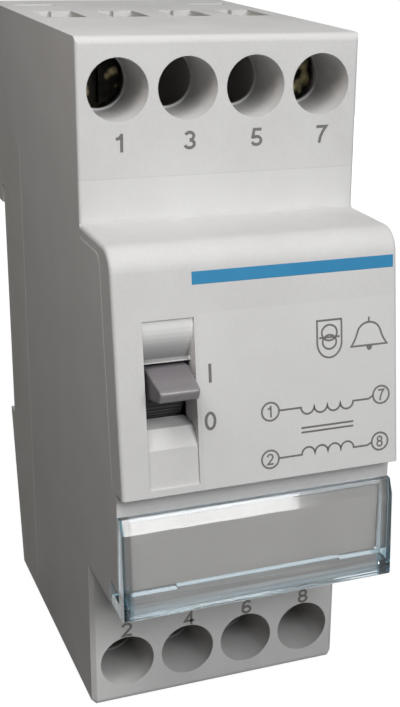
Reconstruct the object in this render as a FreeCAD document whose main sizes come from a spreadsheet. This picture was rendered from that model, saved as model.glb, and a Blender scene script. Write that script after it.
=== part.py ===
import FreeCAD, Part
import Sketcher
import math
import os

# Two-module bell transformer for a 35 mm rail, with a supply switch.
# X runs across the front, Y to the back, Z up. The origin is the middle of the seat on the rail.

doc = FreeCAD.newDocument("bell_transformer")
sheet = doc.addObject("Spreadsheet::Sheet", "Sizes")


class Size:
    """A number that remembers the sheet formula it came from."""

    def __init__(self, value, text):
        self.value = value
        self.text = text

    def __add__(self, other):
        other = plain(other)
        return Size(self.value + other.value, f"({self.text} + {other.text})")

    def __sub__(self, other):
        other = plain(other)
        return Size(self.value - other.value, f"({self.text} - {other.text})")

    def __mul__(self, other):
        other = plain(other)
        return Size(self.value * other.value, f"({self.text} * {other.text})")

    def __truediv__(self, other):
        other = plain(other)
        return Size(self.value / other.value, f"({self.text} / {other.text})")

    def __neg__(self):
        return plain(0) - self

    def __radd__(self, other):
        return plain(other) + self

    def __rsub__(self, other):
        return plain(other) - self

    def __rmul__(self, other):
        return plain(other) * self


def plain(item):
    return item if isinstance(item, Size) else Size(float(item), f"{float(item):.9g}")


def size(alias, number):
    """Write a driving dimension to the next row of the sheet."""
    row = len(sheet.getUsedCells()) // 2 + 1
    sheet.set(f"A{row}", alias)
    sheet.set(f"B{row}", str(number))
    sheet.setAlias(f"B{row}", alias)
    return Size(float(number), f"Sizes.{alias}")


def sine(angle):
    return Size(math.sin(math.radians(angle.value)), f"sin({angle.text})")


def cosine(angle):
    return Size(math.cos(math.radians(angle.value)), f"cos({angle.text})")


def tangent(angle):
    return Size(math.tan(math.radians(angle.value)), f"tan({angle.text})")


def square_root(amount):
    return Size(math.sqrt(amount.value), f"sqrt({amount.text})")


def turned(point, centre, angle):
    """A point of the YZ plane, turned about the X axis through a centre."""
    across = point[0] - centre[0]
    along = point[1] - centre[1]
    y = centre[0] + across * cosine(angle) - along * sine(angle)
    z = centre[1] + across * sine(angle) + along * cosine(angle)
    return y, z


# Whole device
module_width = size("module_width", 17.5)
module_count = size("module_count", 2)
body_height = size("body_height", 87)
nose_height = size("nose_height", 44.5)
shoulder_set = size("shoulder_set", 7.2)
face_reach = size("face_reach", 9.06)
face_lean = size("face_lean", 7.45)
back_reach = size("back_reach", 4.5)
wall = size("wall", 1.6)
edge_round = size("edge_round", 0.9)
corner_round = size("corner_round", 0.4)
foot_chamfer = size("foot_chamfer", 0.6)
nose_foot_round = size("nose_foot_round", 0.6)
seam_bevel = size("seam_bevel", 0.18)
snug = size("snug", 0.05)
running = size("running", 0.06)

# Front cap over the nose
cap_drop = size("cap_drop", 6.1)
cap_flange = size("cap_flange", 4.2)
cap_top_skin = size("cap_top_skin", 1.3)
cap_side_skin = size("cap_side_skin", 1.3)
nose_round = size("nose_round", 3)
cap_edge_round = size("cap_edge_round", 0.5)
seam_round = size("seam_round", 1.5)

# Switch pocket in the cap, with its window
pocket_inset = size("pocket_inset", 6.33)
pocket_width = size("pocket_width", 6.05)
pocket_top = size("pocket_top", 14.15)
pocket_drop = size("pocket_drop", 5.25)
pocket_step = size("pocket_step", 0.3)
window_top = size("window_top", 8.75)
window_bottom = size("window_bottom", 1.2)
scoop_depth = size("scoop_depth", 2.1)
scoop_lip = size("scoop_lip", 0.42)
scoop_steps = size("scoop_steps", 9)
scoop_power = size("scoop_power", 2.1)
ramp_depth = size("ramp_depth", 1.7)
ramp_drop = size("ramp_drop", 0.75)
pocket_frame = size("pocket_frame", 1.2)

# Lever with its cross pin and sprung plunger
lever_swing = size("lever_swing", 24)
drum_radius = size("drum_radius", 5.6)
drum_gap = size("drum_gap", 0.35)
hub_radius = size("hub_radius", 2.2)
handle_root = size("handle_root", 3)
pin_radius = size("pin_radius", 1)
pin_socket = size("pin_socket", 0.8)
handle_hump = size("handle_hump", 7.5)
handle_reach = size("handle_reach", 12.5)
handle_root_gap = size("handle_root_gap", 0.3)
handle_slope = size("handle_slope", 13.5)
handle_tip = size("handle_tip", 1.35)
handle_under = size("handle_under", 14)
handle_back_slope = size("handle_back_slope", 6.2)
tip_width = size("tip_width", 4.5)
tip_round = size("tip_round", 0.45)
handle_edge_round = size("handle_edge_round", 0.25)
plunger_tip = size("plunger_tip", 0.9)
plunger_radius = size("plunger_radius", 1.05)
plunger_reach = size("plunger_reach", 9.1)
plunger_length = size("plunger_length", 4.1)
sleeve_radius = size("sleeve_radius", 1.9)
sleeve_reach = size("sleeve_reach", 7)
small_wire = size("small_wire", 0.18)
groove_count = size("groove_count", 9)
groove_step = size("groove_step", 6)
groove_radius = size("groove_radius", 0.17)

# Rocking contact, its support and the fixed contact
rocker_swing = size("rocker_swing", 16)
rocker_vee = size("rocker_vee", 13.7)
rocker_gap = size("rocker_gap", 0.15)
rocker_half = size("rocker_half", 7)
rocker_width = size("rocker_width", 4.8)
blade = size("blade", 0.6)
rocker_axis_set = size("rocker_axis_set", 0.95)
ridge_radius = size("ridge_radius", 0.5)
strip = size("strip", 0.8)
strip_set = size("strip_set", 0.7)
strip_split = size("strip_split", 2)
contact_radius = size("contact_radius", 1.1)
contact_height = size("contact_height", 0.5)
contact_offset = size("contact_offset", 6)
live_strip_length = size("live_strip_length", 14)
rib = size("rib", 1.2)

# Label flap and card
flap_height = size("flap_height", 13)
flap_foot_gap = size("flap_foot_gap", 0.15)
flap_gap = size("flap_gap", 0.15)
ledge_reach = size("ledge_reach", 1.2)
flap_top_reach = size("flap_top_reach", 2)
flap_bevel = size("flap_bevel", 1.8)
flap_crown_reach = size("flap_crown_reach", 2.85)
flap_foot_reach = size("flap_foot_reach", 3.5)
flap_skin = size("flap_skin", 1)
flap_rim = size("flap_rim", 1.2)
flap_bar = size("flap_bar", 3.1)
flap_bar_round = size("flap_bar_round", 0.7)
flap_ear = size("flap_ear", 1.05)
flap_stub = size("flap_stub", 0.84)
flap_pivot_set = size("flap_pivot_set", 1.1)
flap_pivot_rise = size("flap_pivot_rise", 0.8)
flap_stub_radius = size("flap_stub_radius", 0.75)
flap_side_gap = size("flap_side_gap", 0.05)
grip_inset = size("grip_inset", 6.9)
card_thick = size("card_thick", 0.35)
card_recess = size("card_recess", 0.5)
card_border = size("card_border", 0.2)

# Terminals, four places at each end
way_side = size("way_side", 0.64)
way_count = size("way_count", 4)
way_inset = size("way_inset", 6)
access_radius = size("access_radius", 3.66)
access_depth = size("access_depth", 9.5)
access_lip = size("access_lip", 0.26)
access_skin = size("access_skin", 0.9)
partition = size("partition", 1)
floor_inset = size("floor_inset", 14.3)
floor_thick = size("floor_thick", 1.2)
entry_width = size("entry_width", 5.2)
entry_set = size("entry_set", 1.1)
entry_depth = size("entry_depth", 8.6)
guide_rib = size("guide_rib", 0.6)
guide_rib_depth = size("guide_rib_depth", 1.3)
guide_rib_length = size("guide_rib_length", 3.9)
screw_head_radius = size("screw_head_radius", 3)
screw_head_height = size("screw_head_height", 2)
screw_slot_width = size("screw_slot_width", 0.8)
screw_slot_depth = size("screw_slot_depth", 1)
screw_radius = size("screw_radius", 1.95)
screw_set = size("screw_set", 0.3)
cage_width = size("cage_width", 6.2)
cage_height = size("cage_height", 6.2)
cage_side = size("cage_side", 0.7)
cage_nut = size("cage_nut", 2)
cage_back = size("cage_back", 1.2)
cage_travel = size("cage_travel", 6)
cage_stop = size("cage_stop", 0.2)
cage_mouth = size("cage_mouth", 8.4)
bar_width = size("bar_width", 4.4)
bar_thick = size("bar_thick", 1.2)
bar_set = size("bar_set", 0.3)
bar_length = size("bar_length", 13.4)

# Rear base with rail seat, and its clip
rail_height = size("rail_height", 35)
rail_play = size("rail_play", 0.3)
hook_gap = size("hook_gap", 1.3)
hook_overlap = size("hook_overlap", 2.7)
hook_root = size("hook_root", 1.6)
hook_bevel = size("hook_bevel", 1)
seam_lap = size("seam_lap", 0.2)
seam_height = size("seam_height", 26)
seat_wall = size("seat_wall", 1.8)
leg_reach = size("leg_reach", 2.4)
leg_taper = size("leg_taper", 4.4)
tongue_length = size("tongue_length", 2.5)
tongue_thick = size("tongue_thick", 1)
snap_width = size("snap_width", 5.4)
snap_inset = size("snap_inset", 4.9)
snap_thick = size("snap_thick", 1.5)
snap_depth = size("snap_depth", 2.4)
snap_low = size("snap_low", 0.4)
clip_width = size("clip_width", 10)
clip_thick = size("clip_thick", 2)
clip_front = size("clip_front", 1.15)
clip_overlap = size("clip_overlap", 2.1)
clip_guide_wall = size("clip_guide_wall", 1.2)
clip_guide_side = size("clip_guide_side", 3)
clip_chamfer = size("clip_chamfer", 1)
clip_foot_gap = size("clip_foot_gap", 0.2)
clip_lug = size("clip_lug", 1.5)
clip_lug_gap = size("clip_lug_gap", 1.5)
clip_spring_radius = size("clip_spring_radius", 1.6)
clip_spring_wire = size("clip_spring_wire", 0.25)
clip_spring_pitch = size("clip_spring_pitch", 1.7)
clip_spring_foot = size("clip_spring_foot", 4)
pocket_play = size("pocket_play", 0.25)

# Transformer
core_width = size("core_width", 42)
sheet_strips = size("sheet_strips", 6)
core_stack = size("core_stack", 16)
core_depth = size("core_depth", 35)
core_gap = size("core_gap", 0.97)
coil_gap = size("coil_gap", 0.5)
bobbin_wall = size("bobbin_wall", 1)
bobbin_play = size("bobbin_play", 0.1)
bobbin_side_gap = size("bobbin_side_gap", 1.5)
winding_inset = size("winding_inset", 0.9)
tape_thick = size("tape_thick", 0.3)
pin_wire_radius = size("pin_wire_radius", 0.4)
pin_wire_length = size("pin_wire_length", 3)
pin_inset = size("pin_inset", 3.6)
fuse_thick = size("fuse_thick", 1.2)
fuse_length = size("fuse_length", 7)
fuse_width = size("fuse_width", 4)
post_thick = size("post_thick", 1.2)
post_height = size("post_height", 6)
post_width = size("post_width", 4)
lead_radius = size("lead_radius", 0.7)
lead_bend = size("lead_bend", 2)
lead_bend_share = size("lead_bend_share", 0.45)

# Widths and heights that follow from the sizes
half_width = module_width * module_count / 2
inner_half = half_width - wall
top = body_height / 2
nose_top = nose_height / 2
cap_low = -cap_drop
seam_top = nose_top - cap_top_skin
pocket_centre = pocket_inset - half_width
pocket_bottom = -pocket_drop
ramp_foot = -ramp_drop
flap_bottom = flap_foot_gap - nose_top
flap_top = flap_bottom + flap_height
flap_pivot_height = flap_bottom + flap_pivot_rise
grip_half = half_width - grip_inset
way_pitch = (half_width - way_side) * 2 / way_count
way_height = top - way_inset
floor_height = top - floor_inset
snap_centre = half_width - snap_inset

# Core sheets are cut without waste: legs and windows are each one strip wide, the middle leg two
core_leg = core_width / sheet_strips
core_back = -seat_wall
core_front = core_back - core_depth

# Depths of the terminals, from the shoulder back to the seam between housing and base
shoulder = core_front - shoulder_set
cage_front_depth = -shoulder - access_depth - screw_set - screw_head_height - cage_travel - cage_stop
bar_front_depth = cage_front_depth - cage_nut - bar_set
entry_front = bar_front_depth - bar_thick - entry_set
entry_back = entry_front - entry_depth
seam_depth = entry_back - partition + seam_lap

# Depths of the switch, from the core forward to the lever's pivot
strip_back = core_front - core_gap
strip_front = strip_back - strip
rocker_y = strip_front - strip_set
valley = rocker_y - rocker_axis_set
plunger_room = plunger_reach - plunger_tip + (plunger_tip + rocker_gap) / cosine(rocker_vee)
lever_pivot = (valley - plunger_room, (window_top + window_bottom) / 2)
rocker_axis = (rocker_y, lever_pivot[1])
rocker_tilt = rocker_swing / 2

# Depths of the nose, from the lever's pivot to the flap's foot
nose_depth = face_reach - lever_pivot[0] - (nose_top - lever_pivot[1]) * tangent(face_lean)
flap_ledge = nose_depth + ledge_reach
flap_top_depth = nose_depth + flap_top_reach
flap_crown_depth = nose_depth + flap_crown_reach
flap_foot_depth = nose_depth + flap_foot_reach
flap_pivot_depth = nose_depth - flap_pivot_set

CLOSE = 1e-4
SQUARE = 90
pieces = []


def face(z, depth=0):
    """Y of the leaning front face at a height, or of a plane that lies behind it."""
    return depth - nose_depth - (nose_top - z) * tangent(face_lean)


def bind(item, prop, amount):
    amount = plain(amount)
    item.setExpression(prop, amount.text)


def place(item, x, y, z):
    for axis, amount in (("x", x), ("y", y), ("z", z)):
        bind(item, f"Placement.Base.{axis}", amount)
    return item


def block(name, x, y, z):
    """A box between two places on each axis."""
    solid = doc.addObject("Part::Box", name)
    for side, (low, high) in (("Length", x), ("Width", y), ("Height", z)):
        bind(solid, side, high - low)
    return place(solid, x[0], y[0], z[0])


def centred(name, x, width, y, z):
    return block(name, (x - width / 2, x + width / 2), y, z)


AXIS_TURNS = {"x": ((0, 1, 0), SQUARE), "y": ((-1, 0, 0), SQUARE), "z": ((0, 0, 1), 0)}


def rod(name, axis, radius, start, length):
    """A round bar from a start point, along X, Y or Z."""
    solid = doc.addObject("Part::Cylinder", name)
    about, angle = AXIS_TURNS[axis]
    solid.Placement = FreeCAD.Placement(FreeCAD.Vector(), FreeCAD.Rotation(FreeCAD.Vector(*about), angle))
    bind(solid, "Radius", radius)
    bind(solid, "Height", length)
    return place(solid, *start)


def spoke(name, radius, near, far):
    """A round bar that points back from the lever's pivot, square to the lever's middle setting."""
    solid = rod(name, "y", radius, (pocket_centre, spoke_point(near)[0], spoke_point(near)[1]), far - near)
    bind(solid, "Placement.Rotation.Angle", SQUARE + lever_swing / 2)
    return solid


def spoke_point(distance):
    half = lever_swing / 2
    return lever_pivot[0] + distance * cosine(half), lever_pivot[1] - distance * sine(half)


PLANES = {"YZ_Plane": "x", "XZ_Plane": "y", "XY_Plane": "z"}


def prism(name, plane, corners, start, length, rounds=()):
    """A sketched outline padded square to its plane, with chosen corners rounded."""
    body = doc.addObject("PartDesign::Body", name)
    sketch = body.newObject("Sketcher::SketchObject", name + "_outline")
    support = [item for item in body.Origin.OriginFeatures if item.Role == plane][0]
    sketch.AttachmentSupport = [(support, "")]
    sketch.MapMode = "FlatFace"
    corners = [(plain(u), plain(v)) for u, v in corners]
    points = [FreeCAD.Vector(u.value, v.value, 0) for u, v in corners]
    count = len(points)
    for index in range(count):
        sketch.addGeometry(Part.LineSegment(points[index], points[(index + 1) % count]))
    for index in range(count):
        sketch.addConstraint(Sketcher.Constraint("Coincident", index, 2, (index + 1) % count, 1))
    for index, corner in enumerate(corners):
        for kind, amount in zip(("DistanceX", "DistanceY"), corner):
            row = sketch.addConstraint(Sketcher.Constraint(kind, -1, 1, index, 1, amount.value))
            sketch.setExpression(f"Constraints[{row}]", amount.text)
    pad = body.newObject("PartDesign::Pad", name + "_pad")
    pad.Profile = sketch
    bind(pad, "Length", length)
    bind(body, f"Placement.Base.{PLANES[plane]}", start)
    doc.recompute()
    feature = pad
    for number, (radius, spots) in enumerate(rounds):
        feature = rounded(body, feature, f"{name}_round{number}", radius, spots, corners, plane)
    return body


def rounded(body, feature, name, radius, spots, corners, plane):
    """Round the long edges that stand on the given corners of the outline."""
    normal = {"YZ_Plane": (1, 2), "XZ_Plane": (0, 2), "XY_Plane": (0, 1)}[plane]
    edges = []
    for number, edge in enumerate(feature.Shape.Edges, 1):
        ends = [vertex.Point for vertex in edge.Vertexes]
        for spot in spots:
            u, v = (amount.value for amount in corners[spot])
            hit = all(math.hypot(end[normal[0]] - u, end[normal[1]] - v) < CLOSE for end in ends)
            if hit and len(ends) == 2:
                edges.append(f"Edge{number}")
    fillet = body.newObject("PartDesign::Fillet", name)
    fillet.Base = (feature, edges)
    bind(fillet, "Radius", radius)
    doc.recompute()
    return fillet


def smoothed(body, kind, name, amount, wanted):
    """Round or bevel the edges of a body's last feature that a test picks out."""
    feature = body.Tip
    edges = [f"Edge{number}" for number, edge in enumerate(feature.Shape.Edges, 1) if wanted(edge)]
    extra = body.newObject(f"PartDesign::{kind}", name)
    extra.Base = (feature, edges)
    bind(extra, "Radius" if kind == "Fillet" else "Size", amount)
    doc.recompute()
    return extra


def fused(name, shapes):
    joined = doc.addObject("Part::MultiFuse", name)
    joined.Shapes = shapes
    joined.Refine = True
    return joined


def cut(name, base, tools):
    result = doc.addObject("Part::Cut", name)
    result.Base = base
    result.Tool = tools[0] if len(tools) == 1 else fused(name + "_tools", tools)
    result.Refine = True
    return result


def common(name, one, other):
    result = doc.addObject("Part::MultiCommon", name)
    result.Shapes = [one, other]
    return result


def piece(label, item):
    """Register a finished sub-part under the name of its file."""
    item.Label = label
    pieces.append(item)
    return item


def spans(low, high):
    return plain(low), plain(high)


def mirrored(low, high):
    return -high, -low


# Where the terminal ways stand: odd numbers at the top, even numbers at the bottom
def way_x(index):
    return (index - (way_count - 1) / 2) * way_pitch


WAYS = range(int(way_count.value))
LIVE_WAYS = (0, int(way_count.value) - 1)
ENDS = (("top", 1), ("bottom", -1))


def at_end(sign, low, high):
    """A height range at the top end, or its mirror at the bottom end."""
    return (low, high) if sign > 0 else mirrored(low, high)


# Housing
FRONT_FOOT, NOSE_FOOT, SEAM_CORNER, FRONT_TOP = 1, 3, 6, 8


def housing_outline():
    """Side view of the housing. The corners named above are rounded."""
    return [
        (-seam_depth, -top), (shoulder, -top), (shoulder, -nose_top), (-flap_ledge, -nose_top),
        (-flap_ledge, cap_low), (face(cap_low, cap_flange), cap_low),
        (face(seam_top, cap_flange), seam_top), (shoulder, seam_top), (shoulder, top),
        (back_reach, top), (back_reach, seam_height), (-seam_depth, seam_height),
    ]


def on_sides(test):
    """A picker of edges on a padded outline's two sides, whose ends both pass a test of Y and Z."""
    def wanted(edge):
        ends = [vertex.Point for vertex in edge.Vertexes]
        if len(ends) != 2 or abs(ends[0].x - ends[1].x) > half_width.value:
            return False
        if min(abs(ends[0].x), abs(ends[0].x - 2 * half_width.value)) > CLOSE:
            return False
        return all(test(end.y, end.z) for end in ends)
    return wanted


def near(number, amount):
    return abs(number - plain(amount).value) < CLOSE


def at_foot(y, z):
    return near(z, -top)


def at_cap_seam(y, z):
    return near(z, seam_top) or near(y, face(plain(z), cap_flange))


def at_base_seam(y, z):
    return near(y, -seam_depth)


def on_cap_front(y, z):
    return near(z, nose_top) or near(y, face(plain(z)))


def housing_shell():
    rounds = [
        (edge_round, (FRONT_FOOT, FRONT_TOP)), (seam_round, (SEAM_CORNER,)), (nose_foot_round, (NOSE_FOOT,)),
    ]
    shell = prism("housing_solid", "YZ_Plane", housing_outline(), -half_width, 2 * half_width, rounds)
    smoothed(shell, "Chamfer", "housing_foot", foot_chamfer, on_sides(at_foot))
    smoothed(shell, "Chamfer", "housing_seam", seam_bevel, on_sides(at_cap_seam))
    inner_seam = cap_flange + wall
    nose_inside = [
        (shoulder + wall, wall - nose_top), (wall - flap_ledge, wall - nose_top),
        (wall - flap_ledge, cap_low - wall), (face(cap_low - wall, inner_seam), cap_low - wall),
        (face(seam_top - wall, inner_seam), seam_top - wall), (shoulder + wall, seam_top - wall),
    ]
    room_depth = (shoulder + wall, back_reach + wall)
    box_inside = block("housing_room", (-inner_half, inner_half), room_depth, (wall - top, top - wall))
    nose_room = prism("nose_room", "YZ_Plane", nose_inside, -inner_half, 2 * inner_half)
    return cut("housing_shell", shell, [box_inside, nose_room, *corner_tools()])


def corner_tools():
    """What rounding takes off the upright front edges of the two terminal blocks."""
    tools = []
    for end, sign in ENDS:
        z = at_end(sign, nose_top, top + wall)
        for side in (-1, 1):
            inside = half_width - corner_round
            x = (inside, half_width + wall) if side > 0 else (-half_width - wall, -inside)
            bar = block(f"corner_bar_{end}{side}", x, (shoulder - wall, shoulder + corner_round), z)
            start = (side * inside, shoulder + corner_round, z[0])
            keep = rod(f"corner_keep_{end}{side}", "z", corner_round, start, z[1] - z[0])
            tools.append(cut(f"corner_{end}{side}", bar, [keep]))
    return tools


def housing_inside():
    """Tubes, partitions and floors round the terminals, and the ribs behind the switch."""
    parts = []
    for end, sign in ENDS:
        height = at_end(sign, floor_height, floor_height + floor_thick)
        depth = (shoulder + wall, partition - entry_back)
        across = (-inner_half, inner_half)
        parts.append(block(f"floor_{end}", across, depth, height))
        chamber = at_end(sign, floor_height + floor_thick, top - wall)
        parts.append(block(f"chamber_back_{end}", across, (-entry_back, depth[1]), chamber))
        for index in WAYS[:-1]:
            middle = (way_x(index) + way_x(index + 1)) / 2
            parts.append(centred(f"partition_{end}{index}", middle, partition, depth, chamber))
        for index in WAYS:
            guide = (-entry_back - guide_rib_depth, -entry_back)
            guide_z = at_end(sign, top - wall - guide_rib_length, top - wall)
            parts.append(centred(f"guide_{end}{index}", way_x(index), guide_rib, guide, guide_z))
            start = (way_x(index), shoulder + wall, sign * way_height)
            length = access_depth - wall
            parts.append(rod(f"tube_{end}{index}", "y", access_radius + access_skin, start, length))
    for name, x, z in (
        ("switch_rib", switch_rib_x, spans(strip_foot - 2 * rib, seam_top - wall)),
        ("core_rib_low", (rib, 2 * rib), spans(wall - nose_top, core_leg - core_width / 2)),
        ("core_rib_high", (rib, 2 * rib), spans(core_width / 2 - core_leg, seam_top - wall)),
    ):
        parts.append(block(name, x, (face(seam_top, cap_flange + wall / 2), core_front), z))
    return parts


def access_tools(end, sign, index):
    start = (way_x(index), shoulder - wall, sign * way_height)
    wide = rod(f"access_{end}{index}", "y", access_radius, start, wall + access_depth - 2 * access_lip)
    narrow = rod(f"lip_{end}{index}", "y", access_radius - access_lip, start, wall + access_depth + wall)
    entry_z = at_end(sign, top - 2 * wall, top + wall)
    entry = centred(f"entry_{end}{index}", way_x(index), entry_width, (-entry_front, -entry_back), entry_z)
    guide_y = (-entry_back - guide_rib_depth, -entry_back)
    left = centred(f"guide_keep_{end}{index}", way_x(index), guide_rib, guide_y, entry_z)
    return [wide, narrow, cut(f"entry_sides_{end}{index}", entry, [left])]


def housing_tools():
    tools = []
    for end, sign in ENDS:
        for index in WAYS:
            tools += access_tools(end, sign, index)
        for index in LIVE_WAYS:
            slot_z = at_end(sign, floor_height - wall, floor_height + floor_thick + wall)
            depth = (-bar_front_depth - snug, bar_thick - bar_front_depth + snug)
            width = bar_width + 2 * snug
            tools.append(centred(f"bar_slot_{end}{index}", way_x(index), width, depth, slot_z))
    for side in (-1, 1):
        depth = (-snap_depth - snap_thick - 2 * snug, -snap_depth + 2 * snug)
        height = (top - 2 * wall, top + wall)
        width = snap_width + 4 * snug
        tools.append(centred(f"snap_window{side}", side * snap_centre, width, depth, height))
        tools.append(flap_notch(side))
    opening = drum_radius + drum_gap
    tools.append(block(
        "drum_window", (-inner_half, switch_rib_x[0]),
        (face(cap_low, 0), face(seam_top, cap_flange + 2 * wall)),
        (lever_pivot[1] - opening, lever_pivot[1] + opening)))
    tools.append(rod("pin_bore", "x", pin_radius + snug / 2, (pin_start, *lever_pivot), pin_length))
    recess_x = (flap_rim - half_width, half_width - flap_rim)
    recess_y = (-flap_ledge - wall, card_recess - flap_ledge)
    recess_z = (flap_bottom + flap_bar - card_border, flap_top - flap_rim + card_border)
    tools.append(block("card_recess_cut", recess_x, recess_y, recess_z))
    return tools


def flap_notch(side):
    """Room in the lower corner of the nose for the flap's ear, with the hole for its stub."""
    inside = half_width - flap_ear - 3 * flap_side_gap
    x = (inside, half_width + wall) if side > 0 else (-half_width - wall, -inside)
    height = (-nose_top - wall, flap_pivot_height + flap_stub_radius + wall)
    notch = block(f"flap_notch{side}", x, (-flap_ledge - wall, -flap_pivot_depth + wall), height)
    start = -inside - flap_ear if side < 0 else inside - flap_ear
    hole = rod(
        f"flap_hole{side}", "x", flap_stub_radius + running,
        (start, -flap_pivot_depth, flap_pivot_height), 2 * flap_ear)
    return fused(f"flap_seat{side}", [notch, hole])


# Lever, drum and plunger
drum_width = pocket_width - 2 * drum_gap
switch_rib_x = (pocket_centre + drum_width / 2 + rib, pocket_centre + drum_width / 2 + 2 * rib)
pin_start = -inner_half - pin_socket
pin_length = switch_rib_x[1] - pin_start
strip_foot = lever_pivot[1] - strip_split - strip_split / 2 - live_strip_length


def handle_profile():
    """Side view of the finger piece, with the switch on."""
    y0, z0 = lever_pivot
    hump = (y0 - handle_hump, window_top - handle_root_gap)
    tip_y = y0 - handle_reach
    tip_top = hump[1] - (handle_reach - handle_hump) * tangent(handle_slope)
    under_y = tip_y + handle_tip / 2
    under_tip = tip_top - handle_tip
    root_y = y0 - handle_root
    under_root = under_tip - (root_y - under_y) * tangent(handle_under)
    top_root = hump[1] - (handle_hump - handle_root) * tangent(handle_back_slope)
    return [
        (y0, z0), (root_y, under_root), (under_y, under_tip), (tip_y, tip_top), hump, (root_y, top_root),
    ]


def handle_plan():
    """Plan view of the finger piece, narrower at its tip."""
    y0 = lever_pivot[0]
    half_root = drum_width / 2
    half_tip = tip_width / 2
    far = y0 - handle_reach - wall
    near = y0 - handle_hump + wall
    x = pocket_centre
    return [
        (x - half_root, y0), (x - half_root, near), (x - half_tip, far),
        (x + half_tip, far), (x + half_root, near), (x + half_root, y0),
    ]


def softened(name, base, radius):
    """Round the long side edges of the finger piece, in front of the drum."""
    doc.recompute()
    soft = doc.addObject("Part::Fillet", name)
    soft.Base = base
    limit = lever_pivot[0].value - drum_radius.value
    chosen = []
    for number, edge in enumerate(base.Shape.Edges, 1):
        ends = [vertex.Point for vertex in edge.Vertexes]
        crosses = abs(ends[0].x - ends[-1].x) > tip_width.value / 2
        if not crosses and min(end.y for end in ends) < limit:
            chosen.append((number, radius.value, radius.value))
    soft.Edges = chosen
    return soft


def build_lever():
    left = pocket_centre - drum_width / 2
    tip_corners = (2, 3, 4)
    side = prism("handle_side", "YZ_Plane", handle_profile(), left, drum_width, [(tip_round, tip_corners)])
    plan = prism("handle_plan", "XY_Plane", handle_plan(), window_bottom - drum_radius, 4 * drum_radius)
    handle = softened("soft_handle", common("handle", side, plan), handle_edge_round)
    y0, z0 = lever_pivot
    drum = rod("drum", "x", drum_radius, (left, y0, z0), drum_width)
    hub_left = -inner_half + 2 * snug
    hub = rod("hub", "x", hub_radius, (hub_left, y0, z0), switch_rib_x[0] - 2 * snug - hub_left)
    sleeve = spoke("plunger_sleeve", sleeve_radius, plain(0), sleeve_reach)
    solid = fused("lever_solid", [handle, drum, hub, sleeve])
    bore = rod("lever_bore", "x", pin_radius + running, (pin_start, y0, z0), pin_length)
    guide = spoke("plunger_bore", plunger_radius + running, pin_radius + blade, sleeve_reach + wall)
    piece("switch_lever", cut("lever", solid, [bore, guide, *drum_grooves()]))
    piece("lever_pin", rod("lever_pin", "x", pin_radius, (pin_start, y0, z0), pin_length))
    build_plunger()


def drum_grooves():
    """Fine grooves across the part of the drum that shows under the handle."""
    y0, z0 = lever_pivot
    grooves = []
    for index in range(int(groove_count.value)):
        angle = groove_step * index
        place_y = y0 - drum_radius * cosine(angle)
        place_z = z0 - drum_radius * sine(angle)
        start = (pocket_centre - drum_width, place_y, place_z)
        grooves.append(rod(f"drum_groove{index}", "x", groove_radius, start, 2 * drum_width))
    return grooves


def build_plunger():
    near = plunger_reach - plunger_length
    shank = spoke("plunger_shank", plunger_radius, near, plunger_reach - plunger_tip)
    ball = doc.addObject("Part::Sphere", "plunger_ball")
    bind(ball, "Radius", plunger_tip)
    centre = spoke_point(plunger_reach - plunger_tip)
    place(ball, pocket_centre, centre[0], centre[1])
    piece("switch_plunger", fused("plunger", [shank, ball]))
    room = near.value - pin_radius.value - blade.value
    spring_radius = plunger_radius.value - small_wire.value
    spring = coil(room - 2 * small_wire.value, spring_radius, small_wire.value, 4 * small_wire.value)
    feature = doc.addObject("Part::Feature", "plunger_spring")
    feature.Shape = spring
    start = spoke_point(pin_radius + blade + small_wire)
    spin = FreeCAD.Rotation(FreeCAD.Vector(1, 0, 0), -SQUARE - lever_swing.value / 2)
    foot = FreeCAD.Vector(pocket_centre.value, start[0].value, start[1].value)
    feature.Placement = FreeCAD.Placement(foot, spin)
    piece("plunger_spring", feature)


def coil(length, radius, wire, pitch):
    """A helical spring that stands on the origin, along Z."""
    path = Part.makeHelix(pitch, length, radius)
    ring = Part.Wire(Part.makeCircle(wire, FreeCAD.Vector(radius, 0, 0), FreeCAD.Vector(0, 1, 0)))
    return Part.Wire(path).makePipeShell([ring], True, True)


# Rocking contact
def rocker_profile():
    """Side view of the vee-shaped blade, tipped to the side that makes contact."""
    z0 = rocker_axis[1]
    rise = rocker_half * tangent(rocker_vee)
    back = blade / cosine(rocker_vee)
    outline = [
        (valley, z0), (valley - rise, z0 + rocker_half), (valley - rise + back, z0 + rocker_half),
        (valley + back - contact_radius * tangent(rocker_vee), z0 + contact_radius),
        (rocker_axis[0], z0 + contact_radius), (rocker_axis[0], z0 - contact_radius),
        (valley + back - contact_radius * tangent(rocker_vee), z0 - contact_radius),
        (valley - rise + back, z0 - rocker_half), (valley - rise, z0 - rocker_half),
    ]
    return [turned(corner, rocker_axis, rocker_tilt) for corner in outline]


def build_rocker():
    left = pocket_centre - rocker_width / 2
    plate = prism("rocker_blade", "YZ_Plane", rocker_profile(), left, rocker_width)
    start = (left - blade, rocker_axis[0], rocker_axis[1])
    groove = rod("rocker_groove", "x", ridge_radius + running, start, rocker_width + 2 * blade)
    button_y = valley - contact_offset * tangent(rocker_vee) + blade / cosine(rocker_vee) / 2
    button_back = (button_y, rocker_axis[1] - contact_offset)
    foot = turned(button_back, rocker_axis, rocker_tilt)
    length = contact_height + blade / 2
    button = rod("moving_button", "y", contact_radius, (pocket_centre, *foot), length)
    bind(button, "Placement.Rotation.Angle", SQUARE + rocker_vee - rocker_tilt)
    rocker_solid = cut("rocker", plate, [groove])
    piece("contact_rocker", fused("rocker_with_button", [rocker_solid, button]))
    return foot


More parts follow.
